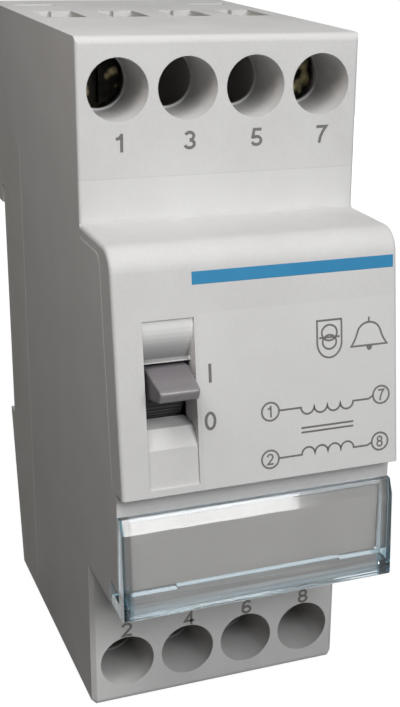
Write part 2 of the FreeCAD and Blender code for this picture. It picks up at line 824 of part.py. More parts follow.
def build_contacts(button_foot):
    z0 = rocker_axis[1]
    x = (-inner_half, switch_rib_x[0])
    plate_y = (strip_front, strip_back)
    plate_middle = strip_front + strip / 2
    upper = block("rocker_strip", x, plate_y, (z0 - strip_split / 2, z0 + live_strip_length))
    web_z = (z0 - ridge_radius / 2, z0 + ridge_radius / 2)
    web = centred("ridge_web", pocket_centre, rocker_width, (rocker_axis[0], plate_middle), web_z)
    ridge_start = (pocket_centre - rocker_width / 2, *rocker_axis)
    ridge = rod("ridge", "x", ridge_radius, ridge_start, rocker_width)
    piece("rocker_support_strip", fused("rocker_support", [upper, web, ridge]))
    lower = block("fixed_strip", x, plate_y, (strip_foot, strip_foot + live_strip_length))
    tip_set = contact_height + blade / 2 + contact_radius * tangent(rocker_vee - rocker_tilt)
    face_y = button_foot[0] + tip_set + snug
    start = (pocket_centre, face_y, button_foot[1])
    rivet = rod("fixed_button", "y", contact_radius, start, plate_middle - face_y)
    piece("fixed_contact_strip", fused("fixed_contact", [lower, rivet]))


# Front cap
def build_cap():
    outline = [
        (shoulder, seam_top), (shoulder, nose_top), (face(nose_top), nose_top), (face(cap_low), cap_low),
        (face(cap_low, cap_flange), cap_low), (face(seam_top, cap_flange), seam_top),
    ]
    rounds = [(nose_round, (2,)), (seam_round, (5,))]
    shell = prism("cap_solid", "YZ_Plane", outline, -half_width, 2 * half_width, rounds)
    smoothed(shell, "Fillet", "cap_sides", cap_edge_round, on_sides(on_cap_front))
    skin = cap_side_skin
    room_top = seam_top - skin / 2
    room_low = cap_low + skin
    room = prism("cap_room", "YZ_Plane", [
        (face(room_top, wall), room_top), (face(room_low, wall), room_low),
        (face(room_low, cap_flange + snug), room_low), (face(room_top, cap_flange + snug), room_top),
    ], skin - half_width, 2 * (half_width - skin), [(seam_round, (0,))])
    hollow = cut("cap_shell", shell, [room])
    frame_top = pocket_top + pocket_frame
    frame_low = pocket_bottom + pocket_step
    frame = prism("pocket_frame_solid", "YZ_Plane", [
        (face(frame_top, wall / 2), frame_top), (face(frame_low, wall / 2), frame_low),
        (face(frame_low, cap_flange), frame_low), (face(frame_top, cap_flange), frame_top),
    ], pocket_centre - pocket_width / 2 - pocket_frame, pocket_width + 2 * pocket_frame)
    solid = fused("cap_with_frame", [hollow, frame, window_sill()])
    piece("front_cap", cut("cap", solid, [switch_pocket()]))


def window_sill():
    """The shelf under the window, which runs back to the drum."""
    reach = drum_radius + drum_gap
    drop = lever_pivot[1] - window_bottom
    back = lever_pivot[0] - square_root(reach * reach - drop * drop)
    depth = (face(window_bottom, cap_flange - wall / 2), back)
    height = (window_bottom - pocket_frame, window_bottom)
    return centred("window_sill", pocket_centre, pocket_width, depth, height)


def scoop_profile():
    """The hollow above the window, deeper and steeper towards it, that ends in a small lip."""
    run = pocket_top - window_top - scoop_lip
    steps = int(scoop_steps.value)
    profile = []
    for index in range(steps + 1):
        share = index / steps
        depth = pocket_step + (scoop_depth - pocket_step) * share ** scoop_power.value
        profile.append((pocket_top - run * share, depth))
    profile.append((window_top + scoop_lip - pocket_step / 2, scoop_depth - pocket_step))
    profile.append((window_top, scoop_depth - pocket_step))
    return profile


def switch_pocket():
    """The hollow round the lever: a scoop above the window, a ramp and a shallow step below it."""
    corners = [(face(pocket_top, -wall), pocket_top)]
    corners += [(face(z, depth), z) for z, depth in scoop_profile()]
    through = cap_flange + wall
    corners += [
        (face(window_top, through), window_top), (face(window_top, through), window_bottom),
        (face(window_bottom, ramp_depth), window_bottom), (face(ramp_foot, pocket_step), ramp_foot),
        (face(pocket_bottom, pocket_step), pocket_bottom), (face(pocket_bottom, -wall), pocket_bottom),
    ]
    return prism("switch_pocket", "YZ_Plane", corners, pocket_centre - pocket_width / 2, pocket_width)


# Label flap and card
def build_flap():
    front_low = flap_bottom + flap_bar_round
    outline = [
        (-flap_ledge - flap_gap, flap_top), (-flap_top_depth, flap_top),
        (-flap_crown_depth, flap_top - flap_bevel), (-flap_foot_depth, front_low),
        (-flap_foot_depth, flap_bottom), (-flap_ledge - flap_gap, flap_bottom),
    ]
    front_foot = 4
    width = 2 * (half_width - flap_side_gap)
    rounds = [(flap_bar_round, (front_foot,))]
    solid = prism("flap_solid", "YZ_Plane", outline, flap_side_gap - half_width, width, rounds)
    inside_top = flap_top - flap_rim
    inside_low = flap_bottom + flap_bar
    lean = (flap_foot_depth - flap_crown_depth) / (flap_top - flap_bevel - front_low)
    top_plate = flap_crown_depth - (inside_top - flap_top + flap_bevel) * lean
    low_plate = flap_crown_depth + (flap_top - flap_bevel - inside_low) * lean
    room = prism("flap_room", "YZ_Plane", [
        (flap_skin - top_plate, inside_top - flap_bevel / 2), (flap_skin - low_plate, inside_low),
        (-flap_ledge + wall, inside_low), (-flap_ledge + wall, inside_top),
        (flap_skin - flap_top_depth - snug, inside_top),
    ], flap_rim - half_width, 2 * (half_width - flap_rim))
    shell = cut("flap_shell", solid, [room])
    parts = [shell]
    for side in (-1, 1):
        parts += flap_ear_parts(side)
    parts.append(grip_bar())
    piece("label_flap", fused("flap", parts))
    card_z = (inside_low, inside_top)
    card_y = (card_recess - flap_ledge - card_thick, card_recess - flap_ledge)
    card_x = half_width - flap_rim - card_border
    piece("label_card", block("label_card", (-card_x, card_x), card_y, card_z))


def grip_bar():
    """Thicker middle of the lower bar, where a nail lifts the flap."""
    proud = flap_foot_depth - snug
    z = (flap_bottom + flap_bar - 2 * flap_gap, flap_bottom + flap_bar + 2 * flap_gap)
    return block("grip", (-grip_half, grip_half), (-proud + flap_skin / 2, -flap_ledge - 2 * flap_gap), z)


def flap_ear_parts(side):
    outer = half_width - flap_side_gap
    inner = outer - flap_ear
    x = (inner, outer) if side > 0 else (-outer, -inner)
    height = (flap_bottom, flap_pivot_height + flap_stub_radius + flap_gap)
    arm = block(f"ear_arm{side}", x, (-flap_ledge - flap_ear, -flap_pivot_depth), height)
    end_radius = flap_pivot_height - flap_bottom
    boss = rod(f"ear_boss{side}", "x", end_radius, (x[0], -flap_pivot_depth, flap_pivot_height), flap_ear)
    stub_start = inner - flap_stub if side > 0 else -inner
    start = (stub_start, -flap_pivot_depth, flap_pivot_height)
    stub = rod(f"ear_stub{side}", "x", flap_stub_radius, start, flap_stub)
    return [arm, boss, stub]


# Terminals
def build_terminal(number, index, sign):
    x = way_x(index)
    head_front = shoulder + access_depth + screw_set
    start = (x, head_front, sign * way_height)
    head = rod(f"screw_head{number}", "y", screw_head_radius, start, screw_head_height)
    tip = -bar_front_depth - snug
    shank_start = head_front + screw_head_height / 2
    start = (x, shank_start, sign * way_height)
    shank = rod(f"screw_shank{number}", "y", screw_radius, start, tip - shank_start)
    slot = centred(
        f"screw_slot{number}", x, screw_slot_width, (head_front - wall, head_front + screw_slot_depth),
        at_end(sign, way_height - screw_head_radius - wall, way_height + screw_head_radius + wall))
    solid = fused(f"screw_solid{number}", [head, shank])
    piece(f"terminal_screw_{number}", cut(f"screw{number}", solid, [slot]))
    build_cage(number, x, sign)
    build_bar(number, x, sign)


def build_cage(number, x, sign):
    front = -cage_front_depth
    inside = (front + cage_nut, front + cage_nut + cage_mouth)
    height = at_end(sign, way_height - cage_height / 2, way_height + cage_height / 2)
    tall = at_end(sign, way_height - cage_height, way_height + cage_height)
    ring = centred(f"cage_ring{number}", x, cage_width, (front, inside[1] + cage_back), height)
    mouth = centred(f"cage_mouth{number}", x, cage_width - 2 * cage_side, inside, tall)
    start = (x, front - wall, sign * way_height)
    thread = rod(f"cage_thread{number}", "y", screw_radius + snug, start, cage_nut + 2 * wall)
    piece(f"terminal_cage_{number}", cut(f"cage{number}", ring, [mouth, thread]))


def build_bar(number, x, sign):
    outer = way_height + cage_height / 2
    height = at_end(sign, outer - bar_length, outer)
    depth = (-bar_front_depth, bar_thick - bar_front_depth)
    piece(f"terminal_bar_{number}", centred(f"bar{number}", x, bar_width, depth, height))


# Rear base
rail_half = rail_height / 2 + rail_play
lip_low = rail_height / 2 + rail_play - hook_overlap
guide_back = clip_front + clip_thick + snug + clip_guide_wall
guide_half = clip_width / 2 + clip_guide_side


def build_base():
    outline = [
        (-seam_depth, seam_height), (back_reach, seam_height), (back_reach, lip_low + hook_bevel),
        (back_reach - hook_bevel, lip_low), (hook_gap, lip_low), (hook_gap, rail_half), (0, rail_half),
        (0, -rail_half), (leg_reach, -rail_half), (leg_reach - leg_taper, -top), (-seam_depth, -top),
    ]
    solid = prism("base_solid", "YZ_Plane", outline, -half_width, 2 * half_width)
    smoothed(solid, "Chamfer", "base_foot", foot_chamfer, on_sides(at_foot))
    smoothed(solid, "Chamfer", "base_seam", seam_bevel, on_sides(at_base_seam))
    hook_floor = rail_half + hook_root
    room = prism("base_room", "YZ_Plane", [
        (-seam_depth - wall, seam_height + wall), (back_reach - wall, seam_height + wall),
        (back_reach - wall, hook_floor), (-seat_wall, hook_floor), (-seat_wall, -hook_floor),
        (leg_reach - wall, -hook_floor),
        (leg_reach - leg_taper - wall, wall - top), (-seam_depth - wall, wall - top),
    ], -inner_half, 2 * inner_half)
    tray = cut("base_tray", solid, [room])
    parts = [tray, rear_plate(), *snap_tabs(), *tongues(), *core_posts(), clip_guide()]
    joined = fused("base_joined", parts)
    piece("rear_base", cut("base", joined, clip_room()))


def rear_plate():
    edge = inner_half - snug
    height = (seam_height - wall, top - wall - snug)
    return block("rear_plate", (-edge, edge), (back_reach - wall, back_reach), height)


def snap_tabs():
    parts = []
    for side in (-1, 1):
        x = side * snap_centre
        arm_z = (top - wall - snap_thick - snug, top - wall - snug)
        front = -snap_depth - snap_thick
        parts.append(centred(f"snap_arm{side}", x, snap_width, (front, back_reach - wall / 2), arm_z))
        tab_z = (top - wall - snap_thick, top - snap_low)
        parts.append(centred(f"snap_tab{side}", x, snap_width, (front, front + snap_thick), tab_z))
    return parts


def tongues():
    """Two tongues that line the base up inside the housing."""
    parts = []
    outer = inner_half - snug
    for side in (-1, 1):
        x = (outer - tongue_thick, outer)
        wide = (inner_half - tongue_thick, inner_half + wall / 2)
        if side < 0:
            x = mirrored(*x)
            wide = mirrored(*wide)
        z = (-seam_height + wall, seam_height - wall)
        parts.append(block(f"tongue{side}", x, (-seam_depth - tongue_length, -seam_depth + wall), z))
        parts.append(block(f"tongue_root{side}", wide, (-seam_depth + snug, -seam_depth + wall), z))
    return parts


def core_posts():
    parts = []
    for side in (-1, 1):
        for end, sign in ENDS:
            near = core_stack / 2 + snug
            x = (near, near + post_thick) if side > 0 else (-near - post_thick, -near)
            z = at_end(sign, rail_half - post_width, rail_half)
            parts.append(block(f"post{side}{end}", x, (-seat_wall - post_height, -seat_wall / 2), z))
    return parts


def clip_guide():
    """The boss that the clip slides in, deeper below the core, where it holds the clip's spring."""
    front = spring_y - spring_room - clip_guide_wall
    upper = block("clip_guide", (-guide_half, guide_half), (core_back, guide_back), (-top, -rail_half))
    below_core = (-top, -core_width / 2 - running)
    lower = block("spring_box", (-guide_half, guide_half), (front, guide_back), below_core)
    return fused("clip_boss", [upper, lower])


clip_low = -top + clip_foot_gap
clip_high = -rail_height / 2 + clip_overlap
lug_top = -core_width / 2 - clip_lug_gap
spring_seat = clip_spring_foot - top
clip_spring_length = lug_top - clip_lug - spring_seat
spring_room = clip_spring_radius + clip_spring_wire + pocket_play
spring_y = clip_front - spring_room - snug


def clip_room():
    half = clip_width / 2 + snug
    slot_y = (clip_front - snug, clip_front + clip_thick + snug)
    slot = block("clip_slot", (-half, half), slot_y, (-top - wall, -rail_half + wall))
    sides = (-spring_room, spring_room)
    pocket_y = (spring_y - spring_room, clip_front)
    pocket = block("spring_pocket", sides, pocket_y, (spring_seat, lug_top + snug))
    return [slot, pocket]


def build_clip():
    plate_y = (clip_front, clip_front + clip_thick)
    back = plate_y[1]
    outline = [
        (plate_y[0], clip_low), (back, clip_low), (back, clip_high - clip_chamfer),
        (back - clip_chamfer, clip_high), (plate_y[0], clip_high),
    ]
    plate = prism("clip_plate", "YZ_Plane", outline, -clip_width / 2, clip_width)
    reach = clip_spring_radius + clip_spring_wire
    lug_y = (spring_y - reach, plate_y[0] + snug)
    lug = block("clip_lug", (-reach, reach), lug_y, (lug_top - clip_lug, lug_top))
    pull_z = (clip_low + wall, clip_low + 2 * wall)
    pull = centred("clip_pull", plain(0), clip_width / 2, (plate_y[0] - wall, back + wall), pull_z)
    piece("rail_clip", cut("clip", fused("clip_solid", [plate, lug]), [pull]))
    spring = coil(
        clip_spring_length.value - 2 * clip_spring_wire.value, clip_spring_radius.value,
        clip_spring_wire.value, clip_spring_pitch.value)
    feature = doc.addObject("Part::Feature", "clip_spring")
    feature.Shape = spring
    foot = FreeCAD.Vector(0, spring_y.value, spring_seat.value + clip_spring_wire.value)
    feature.Placement = FreeCAD.Placement(foot, FreeCAD.Rotation())
    piece("clip_spring", feature)


# Transformer core, bobbin and windings
yoke_face = core_back - core_leg
leg_end = core_front + core_leg
half_stack = core_stack / 2
bobbin_x = half_stack + bobbin_play + bobbin_wall
bobbin_z = core_leg + bobbin_play + bobbin_wall
bobbin_back = yoke_face - bobbin_play
bobbin_front = leg_end + bobbin_play
bobbin_middle = (bobbin_back + bobbin_front) / 2
flange_z = core_width / 2 - core_leg - bobbin_play * 2
bobbin_half = inner_half - bobbin_side_gap
pin_wire_place = bobbin_half - pin_inset


def build_core():
    half = core_width / 2
    stack = (-half_stack, half_stack)
    yoke = block("yoke", stack, (yoke_face, core_back), (-half, half))
    legs = [
        block("leg_low", stack, (leg_end, core_back), (-half, core_leg - half)),
        block("leg_middle", stack, (leg_end, core_back), (-core_leg, core_leg)),
        block("leg_high", stack, (leg_end, core_back), (half - core_leg, half)),
    ]
    piece("core_e_stack", fused("core_e", [yoke, *legs]))
    piece("core_i_stack", block("core_i", stack, (core_front, leg_end), (-half, half)))


def build_bobbin():
    tube = block("bobbin_tube", (-bobbin_x, bobbin_x), (bobbin_front, bobbin_back), (-bobbin_z, bobbin_z))
    cheeks = []
    for name, near in (
        ("front", bobbin_front), ("middle", bobbin_middle - bobbin_wall / 2),
        ("back", bobbin_back - bobbin_wall),
    ):
        depth = (near, near + bobbin_wall)
        cheeks.append(block(f"cheek_{name}", (-bobbin_half, bobbin_half), depth, (-flange_z, flange_z)))
    hole = block(
        "bobbin_hole", (bobbin_wall - bobbin_x, bobbin_x - bobbin_wall),
        (bobbin_front - wall, bobbin_back + wall),
        (bobbin_wall - bobbin_z, bobbin_z - bobbin_wall))
    pads = [pin_pad(*spot) for spot in pin_spots()]
    piece("coil_bobbin", cut("bobbin", fused("bobbin_solid", [tube, *cheeks, *pads]), [hole]))
    pins = [bobbin_pin(*spot) for spot in pin_spots()]
    group = doc.addObject("Part::Compound", "bobbin_pins")
    group.Links = pins
    piece("bobbin_pins", group)


def pin_spots():
    """Two solder pins on the front cheek pointing up, two on the back cheek pointing down."""
    front = bobbin_front + bobbin_wall / 2
    back = bobbin_back - bobbin_wall / 2
    return [(side, y, sign) for y, sign in ((front, 1), (back, -1)) for side in (-1, 1)]


def pin_pad(side, y, sign):
    """A small block on the cheek that a pin is pressed into."""
    pad = pin_wire_radius * 2
    low = flange_z - pad
    z = at_end(sign, low, flange_z + pin_wire_radius)
    depth = (y - bobbin_wall / 2, y + bobbin_wall / 2)
    return centred(f"pin_pad{side}{sign}", side * pin_wire_place, 2 * pad, depth, z)


def bobbin_pin(side, y, sign):
    foot = flange_z + pin_wire_radius
    start = foot if sign > 0 else -foot - pin_wire_length
    spot = (side * pin_wire_place, y, start)
    return rod(f"pin_{side}{sign}", "z", pin_wire_radius, spot, pin_wire_length)


def wrap(label, near, far, inner, outer):
    """A rectangular winding or tape layer round the bobbin, from inner to outer half sizes in X and Z."""
    outside = block(f"{label}_outside", (-outer[0], outer[0]), (near, far), (-outer[1], outer[1]))
    through = (near - wall, far + wall)
    inside = block(f"{label}_inside", (-inner[0], inner[0]), through, (-inner[1], inner[1]))
    piece(label, cut(f"{label}_ring", outside, [inside]))


def build_windings():
    rooms = {
        "primary": (bobbin_front + bobbin_wall, bobbin_middle - bobbin_wall / 2),
        "secondary": (bobbin_middle + bobbin_wall / 2, bobbin_back - bobbin_wall),
    }
    side = inner_half - coil_gap - fuse_thick
    inner = (bobbin_x, bobbin_z)
    outer = (side - tape_thick, flange_z - winding_inset)
    taped = (side, outer[1] + tape_thick)
    for name, (near, far) in rooms.items():
        wrap(f"{name}_winding", near, far, inner, outer)
        wrap(f"{name}_tape", near, far, outer, taped)
    near, far = rooms["primary"]
    middle = (near + far) / 2
    piece("thermal_cutout", block(
        "thermal_cutout", (-side - fuse_thick, -side), (middle - fuse_width / 2, middle + fuse_width / 2),
        (-fuse_length / 2, fuse_length / 2)))


# Insulated leads between the bars, the switch and the bobbin pins
def lead(label, route):
    """A round lead along straight runs joined by tangent arcs."""
    points = [FreeCAD.Vector(*(plain(amount).value for amount in spot)) for spot in route]
    edges = []
    start = points[0]
    for before, corner, after in zip(points, points[1:], points[2:]):
        into = (corner - before).normalize()
        away = (after - corner).normalize()
        turn = into.getAngle(away)
        room = lead_bend_share.value * min((corner - before).Length, (after - corner).Length)
        set_back = min(lead_bend.value * math.tan(turn / 2), room)
        first = corner - into * set_back
        last = corner + away * set_back
        radius = set_back / math.tan(turn / 2)
        middle = corner + (away - into).normalize() * (radius / math.cos(turn / 2) - radius)
        edges += [Part.LineSegment(start, first).toShape(), Part.Arc(first, middle, last).toShape()]
        start = last
    edges.append(Part.LineSegment(start, points[-1]).toShape())
    path = Part.Wire(edges)
    ring = Part.Wire(Part.makeCircle(lead_radius.value, points[0], points[1] - points[0]))
    feature = doc.addObject("Part::Feature", label)
    feature.Shape = path.makePipeShell([ring], True, False)
    piece(label, feature)


def build_leads():
    bar_low = way_height + cage_height / 2 - bar_length + lead_radius + running
    bar_face = -bar_front_depth
    pin_top = flange_z + pin_wire_radius + pin_wire_length
    pin_y = bobbin_front + bobbin_wall / 2
    back_y = bobbin_back - bobbin_wall / 2
    first = way_x(LIVE_WAYS[0])
    last = way_x(LIVE_WAYS[1])
    behind = strip_back
    gap = 3 * lead_radius
    aside = -inner_half + 2 * lead_radius
    low = strip_foot + gap
    lead("lead_terminal_1", [
        (first, bar_face, bar_low), (first, bar_face - 2 * gap, bar_low),
        (aside, behind + 2 * gap, bar_low - gap), (aside, behind + 2 * gap, low), (aside, behind, low),
    ])
    high = lever_pivot[1] + live_strip_length - gap
    x_mid = pocket_centre + lead_radius
    lead("lead_switch", [
        (x_mid, behind, high), (x_mid, behind + gap, high), (-pin_wire_place, pin_y, pin_top + gap),
        (-pin_wire_place, pin_y, pin_top),
    ])
    lead("lead_terminal_7", [
        (last, bar_face, bar_low), (last, bar_face - gap, bar_low),
        (pin_wire_place, pin_y, pin_top + 2 * gap),
        (pin_wire_place, pin_y, pin_top),
    ])
    bar_back = bar_thick - bar_front_depth
    for number, x, side in ((2, first, -1), (8, last, 1)):
        lead(f"lead_terminal_{number}", [
            (x, bar_back, -bar_low), (x, bar_back + 2 * gap, -bar_low),
            (side * pin_wire_place, back_y, -pin_top - 2 * gap), (side * pin_wire_place, back_y, -pin_top),
        ])


def build_housing():
    joined = fused("housing_joined", [housing_shell(), *housing_inside()])
    piece("housing", cut("housing_cut", joined, housing_tools()))


build_housing()
build_base()
build_cap()
build_flap()
build_lever()
build_contacts(build_rocker())
build_clip()
for way_sign, way_numbers in ((1, (1, 7)), (-1, (2, 8))):
    for way_number, way_index in zip(way_numbers, LIVE_WAYS):
        build_terminal(way_number, way_index, way_sign)
build_core()
build_bobbin()
build_windings()
build_leads()

doc.recompute()
for item in doc.Objects:
    if "Invalid" in item.State or "Error" in item.State:
        raise RuntimeError(f"{item.Name} failed: {item.State}")
os.makedirs("parts", exist_ok=True)
for item in pieces:
    shape = item.Shape
    if shape.isNull() or not shape.isValid():
        raise RuntimeError(f"{item.Label} has no valid shape")
    print(f"{item.Label:24s} solids {len(shape.Solids)} volume {shape.Volume:10.2f}")
for item in pieces:
    item.Shape.exportStep(f"parts/{item.Label}.step")
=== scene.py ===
import math
import bpy
from mathutils import Matrix, Vector


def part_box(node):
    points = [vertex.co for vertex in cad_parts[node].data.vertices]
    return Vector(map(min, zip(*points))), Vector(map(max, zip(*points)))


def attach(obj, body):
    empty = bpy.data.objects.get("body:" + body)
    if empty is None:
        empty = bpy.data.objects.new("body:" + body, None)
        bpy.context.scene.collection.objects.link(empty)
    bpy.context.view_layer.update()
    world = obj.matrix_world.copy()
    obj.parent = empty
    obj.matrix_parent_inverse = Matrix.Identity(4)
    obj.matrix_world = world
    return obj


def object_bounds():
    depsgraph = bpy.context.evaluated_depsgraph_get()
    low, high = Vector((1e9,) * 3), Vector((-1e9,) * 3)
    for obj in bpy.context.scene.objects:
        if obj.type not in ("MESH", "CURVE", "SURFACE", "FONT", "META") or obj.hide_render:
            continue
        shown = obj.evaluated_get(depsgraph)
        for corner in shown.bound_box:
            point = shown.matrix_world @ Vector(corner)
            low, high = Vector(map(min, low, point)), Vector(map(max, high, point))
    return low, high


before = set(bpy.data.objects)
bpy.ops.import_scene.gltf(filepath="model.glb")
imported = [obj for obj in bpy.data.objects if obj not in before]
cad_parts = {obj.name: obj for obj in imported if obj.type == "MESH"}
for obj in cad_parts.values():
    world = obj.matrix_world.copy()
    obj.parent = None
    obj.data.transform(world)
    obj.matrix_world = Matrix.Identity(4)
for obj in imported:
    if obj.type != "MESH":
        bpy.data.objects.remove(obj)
cad_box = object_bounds()
MM = 0.001


# The view. The device is seen from its left, a little from above, and close enough that the upright
# edges lean together towards the foot.
camera_place = Vector((-53.99, -188.72, 58.89)) * MM
view_turn = math.radians(-23.55)
view_pitch = math.radians(-20.23)
view_roll = math.radians(1.66)
picture_width = 400
picture_height = 707
focal_pixels = 1301.3
sight_column = 285.5
sight_row = 373.6

ahead = Vector((
    -math.sin(view_turn) * math.cos(view_pitch),
    math.cos(view_turn) * math.cos(view_pitch),
    math.sin(view_pitch),
))
level_right = Vector((math.cos(view_turn), math.sin(view_turn), 0))
level_up = level_right.cross(ahead)
right = level_right * math.cos(view_roll) + level_up * math.sin(view_roll)
up = level_up * math.cos(view_roll) - level_right * math.sin(view_roll)

lens = bpy.data.cameras.new("camera")
lens.sensor_width = 36
lens.lens = focal_pixels * lens.sensor_width / picture_height
lens.shift_x = (picture_width / 2 - sight_column) / picture_height
lens.shift_y = (sight_row - picture_height / 2) / picture_height
lens.clip_start = 1 * MM
camera = bpy.data.objects.new("camera", lens)
camera.matrix_world = Matrix((right, up, -ahead)).transposed().to_4x4()
camera.location = camera_place
bpy.context.scene.collection.objects.link(camera)
bpy.context.scene.camera = camera
bpy.context.scene.view_settings.view_transform = "Standard"


# The studio. The device stands on grey paper under three soft lamps: a wide one in front, a
# little to the right, a smaller one close above its left and one behind it. What the camera sees
# past it is white.
def new_material(name):
    """A new material, with its node tree and the shader in it."""
    material = bpy.data.materials.new(name)
    material.use_nodes = True
    tree = material.node_tree
    return material, tree, tree.nodes["Principled BSDF"]


def add(tree, kind, **settings):
    """One more node, with its properties and the defaults of its named inputs."""
    node = tree.nodes.new(kind)
    for key, value in settings.items():
        if hasattr(node, key):
            setattr(node, key, value)
        else:
            node.inputs[key.replace("_", " ")].default_value = value
    return node


def math_node(tree, operation, first, second=0.0):
    """A sum on two values, each a number or a socket."""
    node = add(tree, "ShaderNodeMath", operation=operation)
    for socket, value in zip(node.inputs, (first, second)):
        if isinstance(value, (int, float)):
            socket.default_value = value
        else:
            tree.links.new(value, socket)
    return node.outputs[0]


def spread(tree, value, low, high, to_low=0.0, to_high=1.0):
    """Stretch a value's range, clamped at its ends."""
    node = add(tree, "ShaderNodeMapRange")
    tree.links.new(value, node.inputs["Value"])
    ends = {"From Min": low, "From Max": high, "To Min": to_low, "To Max": to_high}
    for label, number in ends.items():
        node.inputs[label].default_value = number
    return node.outputs["Result"]


def blended(tree, factor, first, second):
    """A colour mix whose ends are colours or sockets."""
    mix = add(tree, "ShaderNodeMix", data_type="RGBA")
    tree.links.new(factor, mix.inputs["Factor"])
    for label, value in (("A", first), ("B", second)):
        if isinstance(value, (tuple, list)):
            mix.inputs[label].default_value = (*value, 1)
        else:
            tree.links.new(value, mix.inputs[label])
    return mix.outputs["Result"]


def background_mask(tree):
    """1 for the rays that should meet a white background."""
    rays = add(tree, "ShaderNodeLightPath")
    seen = math_node(tree, "MAXIMUM", rays.outputs["Is Camera Ray"], rays.outputs["Is Glossy Ray"])
    return math_node(tree, "MAXIMUM", seen, rays.outputs["Is Transmission Ray"])


def new_floor():
    """The paper. Where it shows as background it glows white, a little less near the device."""
    reach = 3
    drop = cad_box[0][2]
    near, far = 0.10, 0.40
    mesh = bpy.data.meshes.new("floor")
    corners = [(-reach, -reach), (reach, -reach), (reach, reach), (-reach, reach)]
    mesh.from_pydata([(x, y, drop) for x, y in corners], [], [(0, 1, 2, 3)])
    floor = bpy.data.objects.new("floor", mesh)
    bpy.context.scene.collection.objects.link(floor)
    material, tree, shader = new_material("floor_paper")
    shader.inputs["Roughness"].default_value = 0.9
    shader.inputs["Specular IOR Level"].default_value = 0.1
    place = add(tree, "ShaderNodeTexCoord")
    cloud = add(tree, "ShaderNodeTexNoise", Scale=6.0, Detail=2.0)
    tree.links.new(place.outputs["Object"], cloud.inputs["Vector"])
    tree.links.new(
        blended(tree, cloud.outputs["Fac"], (0.12, 0.12, 0.12), (0.13, 0.13, 0.13)),
        shader.inputs["Base Color"])
    distance = add(tree, "ShaderNodeVectorMath", operation="LENGTH")
    tree.links.new(place.outputs["Object"], distance.inputs[0])
    glow = add(tree, "ShaderNodeEmission", Color=(1, 1, 1, 1))
    strength = spread(tree, distance.outputs["Value"], near, far, 0.94, 1.0)
    tree.links.new(strength, glow.inputs["Strength"])
    white = add(tree, "ShaderNodeAddShader")
    tree.links.new(shader.outputs[0], white.inputs[0])
    tree.links.new(glow.outputs[0], white.inputs[1])
    choice = add(tree, "ShaderNodeMixShader")
    tree.links.new(background_mask(tree), choice.inputs[0])
    tree.links.new(shader.outputs[0], choice.inputs[1])
    tree.links.new(white.outputs[0], choice.inputs[2])
    tree.links.new(choice.outputs[0], tree.nodes["Material Output"].inputs["Surface"])
    mesh.materials.append(material)


def new_world():
    """A weak warm fill, and white for the rays that should meet the background."""
    world = bpy.data.worlds.new("studio")
    bpy.context.scene.world = world
    world.use_nodes = True
    tree = world.node_tree
    fill = tree.nodes["Background"]
    fill.inputs["Color"].default_value = (1, 0.955, 0.93, 1)
    fill.inputs["Strength"].default_value = 0.012
    white = add(tree, "ShaderNodeBackground", Color=(1, 1, 1, 1), Strength=1.0)
    choice = add(tree, "ShaderNodeMixShader")
    tree.links.new(background_mask(tree), choice.inputs[0])
    tree.links.new(fill.outputs[0], choice.inputs[1])
    tree.links.new(white.outputs[0], choice.inputs[2])
    tree.links.new(choice.outputs[0], tree.nodes["World Output"].inputs["Surface"])


def new_lamp(name, side, height, distance, wide, tall, watts, colour=(1, 1, 1)):
    """A soft rectangular lamp, aimed at the device, from an angle to the right and an angle up."""
    turn, rise = math.radians(side), math.radians(height)
    level = math.cos(rise)
    way = Vector((math.sin(turn) * level, -math.cos(turn) * level, math.sin(rise)))
    target = Vector((0, -45, 10)) * MM
    data = bpy.data.lights.new(name, "AREA")
    data.shape = "RECTANGLE"
    data.size = wide
    data.size_y = tall
    data.energy = watts
    data.color = colour
    lamp = bpy.data.objects.new(name, data)
    lamp.location = target + way * distance
    lamp.rotation_euler = way.to_track_quat("Z", "Y").to_euler()
    bpy.context.scene.collection.objects.link(lamp)


new_floor()
new_world()
new_lamp("front_lamp", 11.5, 28, 0.5, 0.20, 0.19, 1.64)
new_lamp("upper_lamp", -42, 56, 0.21, 0.11, 0.11, 0.29, (1.0, 0.985, 0.97))
new_lamp("rear_lamp", 150, -1, 0.5, 0.40, 0.08, 1.3)


# The housing, the front cap and the rear base. They are moulded in one pale grey plastic, with a
# fine eroded grain outside, and snapped together along bevelled parting lines.
def new_group(name, inputs, outputs):
    """An empty node group with named sockets, and its two end nodes."""
    group = bpy.data.node_groups.new(name, "ShaderNodeTree")
    for kind, label, value in inputs:
        socket = group.interface.new_socket(name=label, in_out="INPUT", socket_type=kind)
        socket.default_value = value
    for kind, label in outputs:
        group.interface.new_socket(name=label, in_out="OUTPUT", socket_type=kind)
    return group, add(group, "NodeGroupInput"), add(group, "NodeGroupOutput")


def local_noise(tree, size, detail=2.0, roughness=0.5, stretch=None):
    """Noise whose blobs are about the given size in metres, fixed to the piece."""
    place = add(tree, "ShaderNodeTexCoord").outputs["Object"]
    if stretch:
        stretched = add(tree, "ShaderNodeVectorMath", operation="MULTIPLY")
        stretched.inputs[1].default_value = stretch
        tree.links.new(place, stretched.inputs[0])
        place = stretched.outputs[0]
    noise = add(tree, "ShaderNodeTexNoise", Detail=detail, Roughness=roughness)
    if isinstance(size, float):
        noise.inputs["Scale"].default_value = 1 / size
    else:
        tree.links.new(math_node(tree, "DIVIDE", 1.0, size), noise.inputs["Scale"])
    tree.links.new(place, noise.inputs["Vector"])
    return noise.outputs["Fac"]


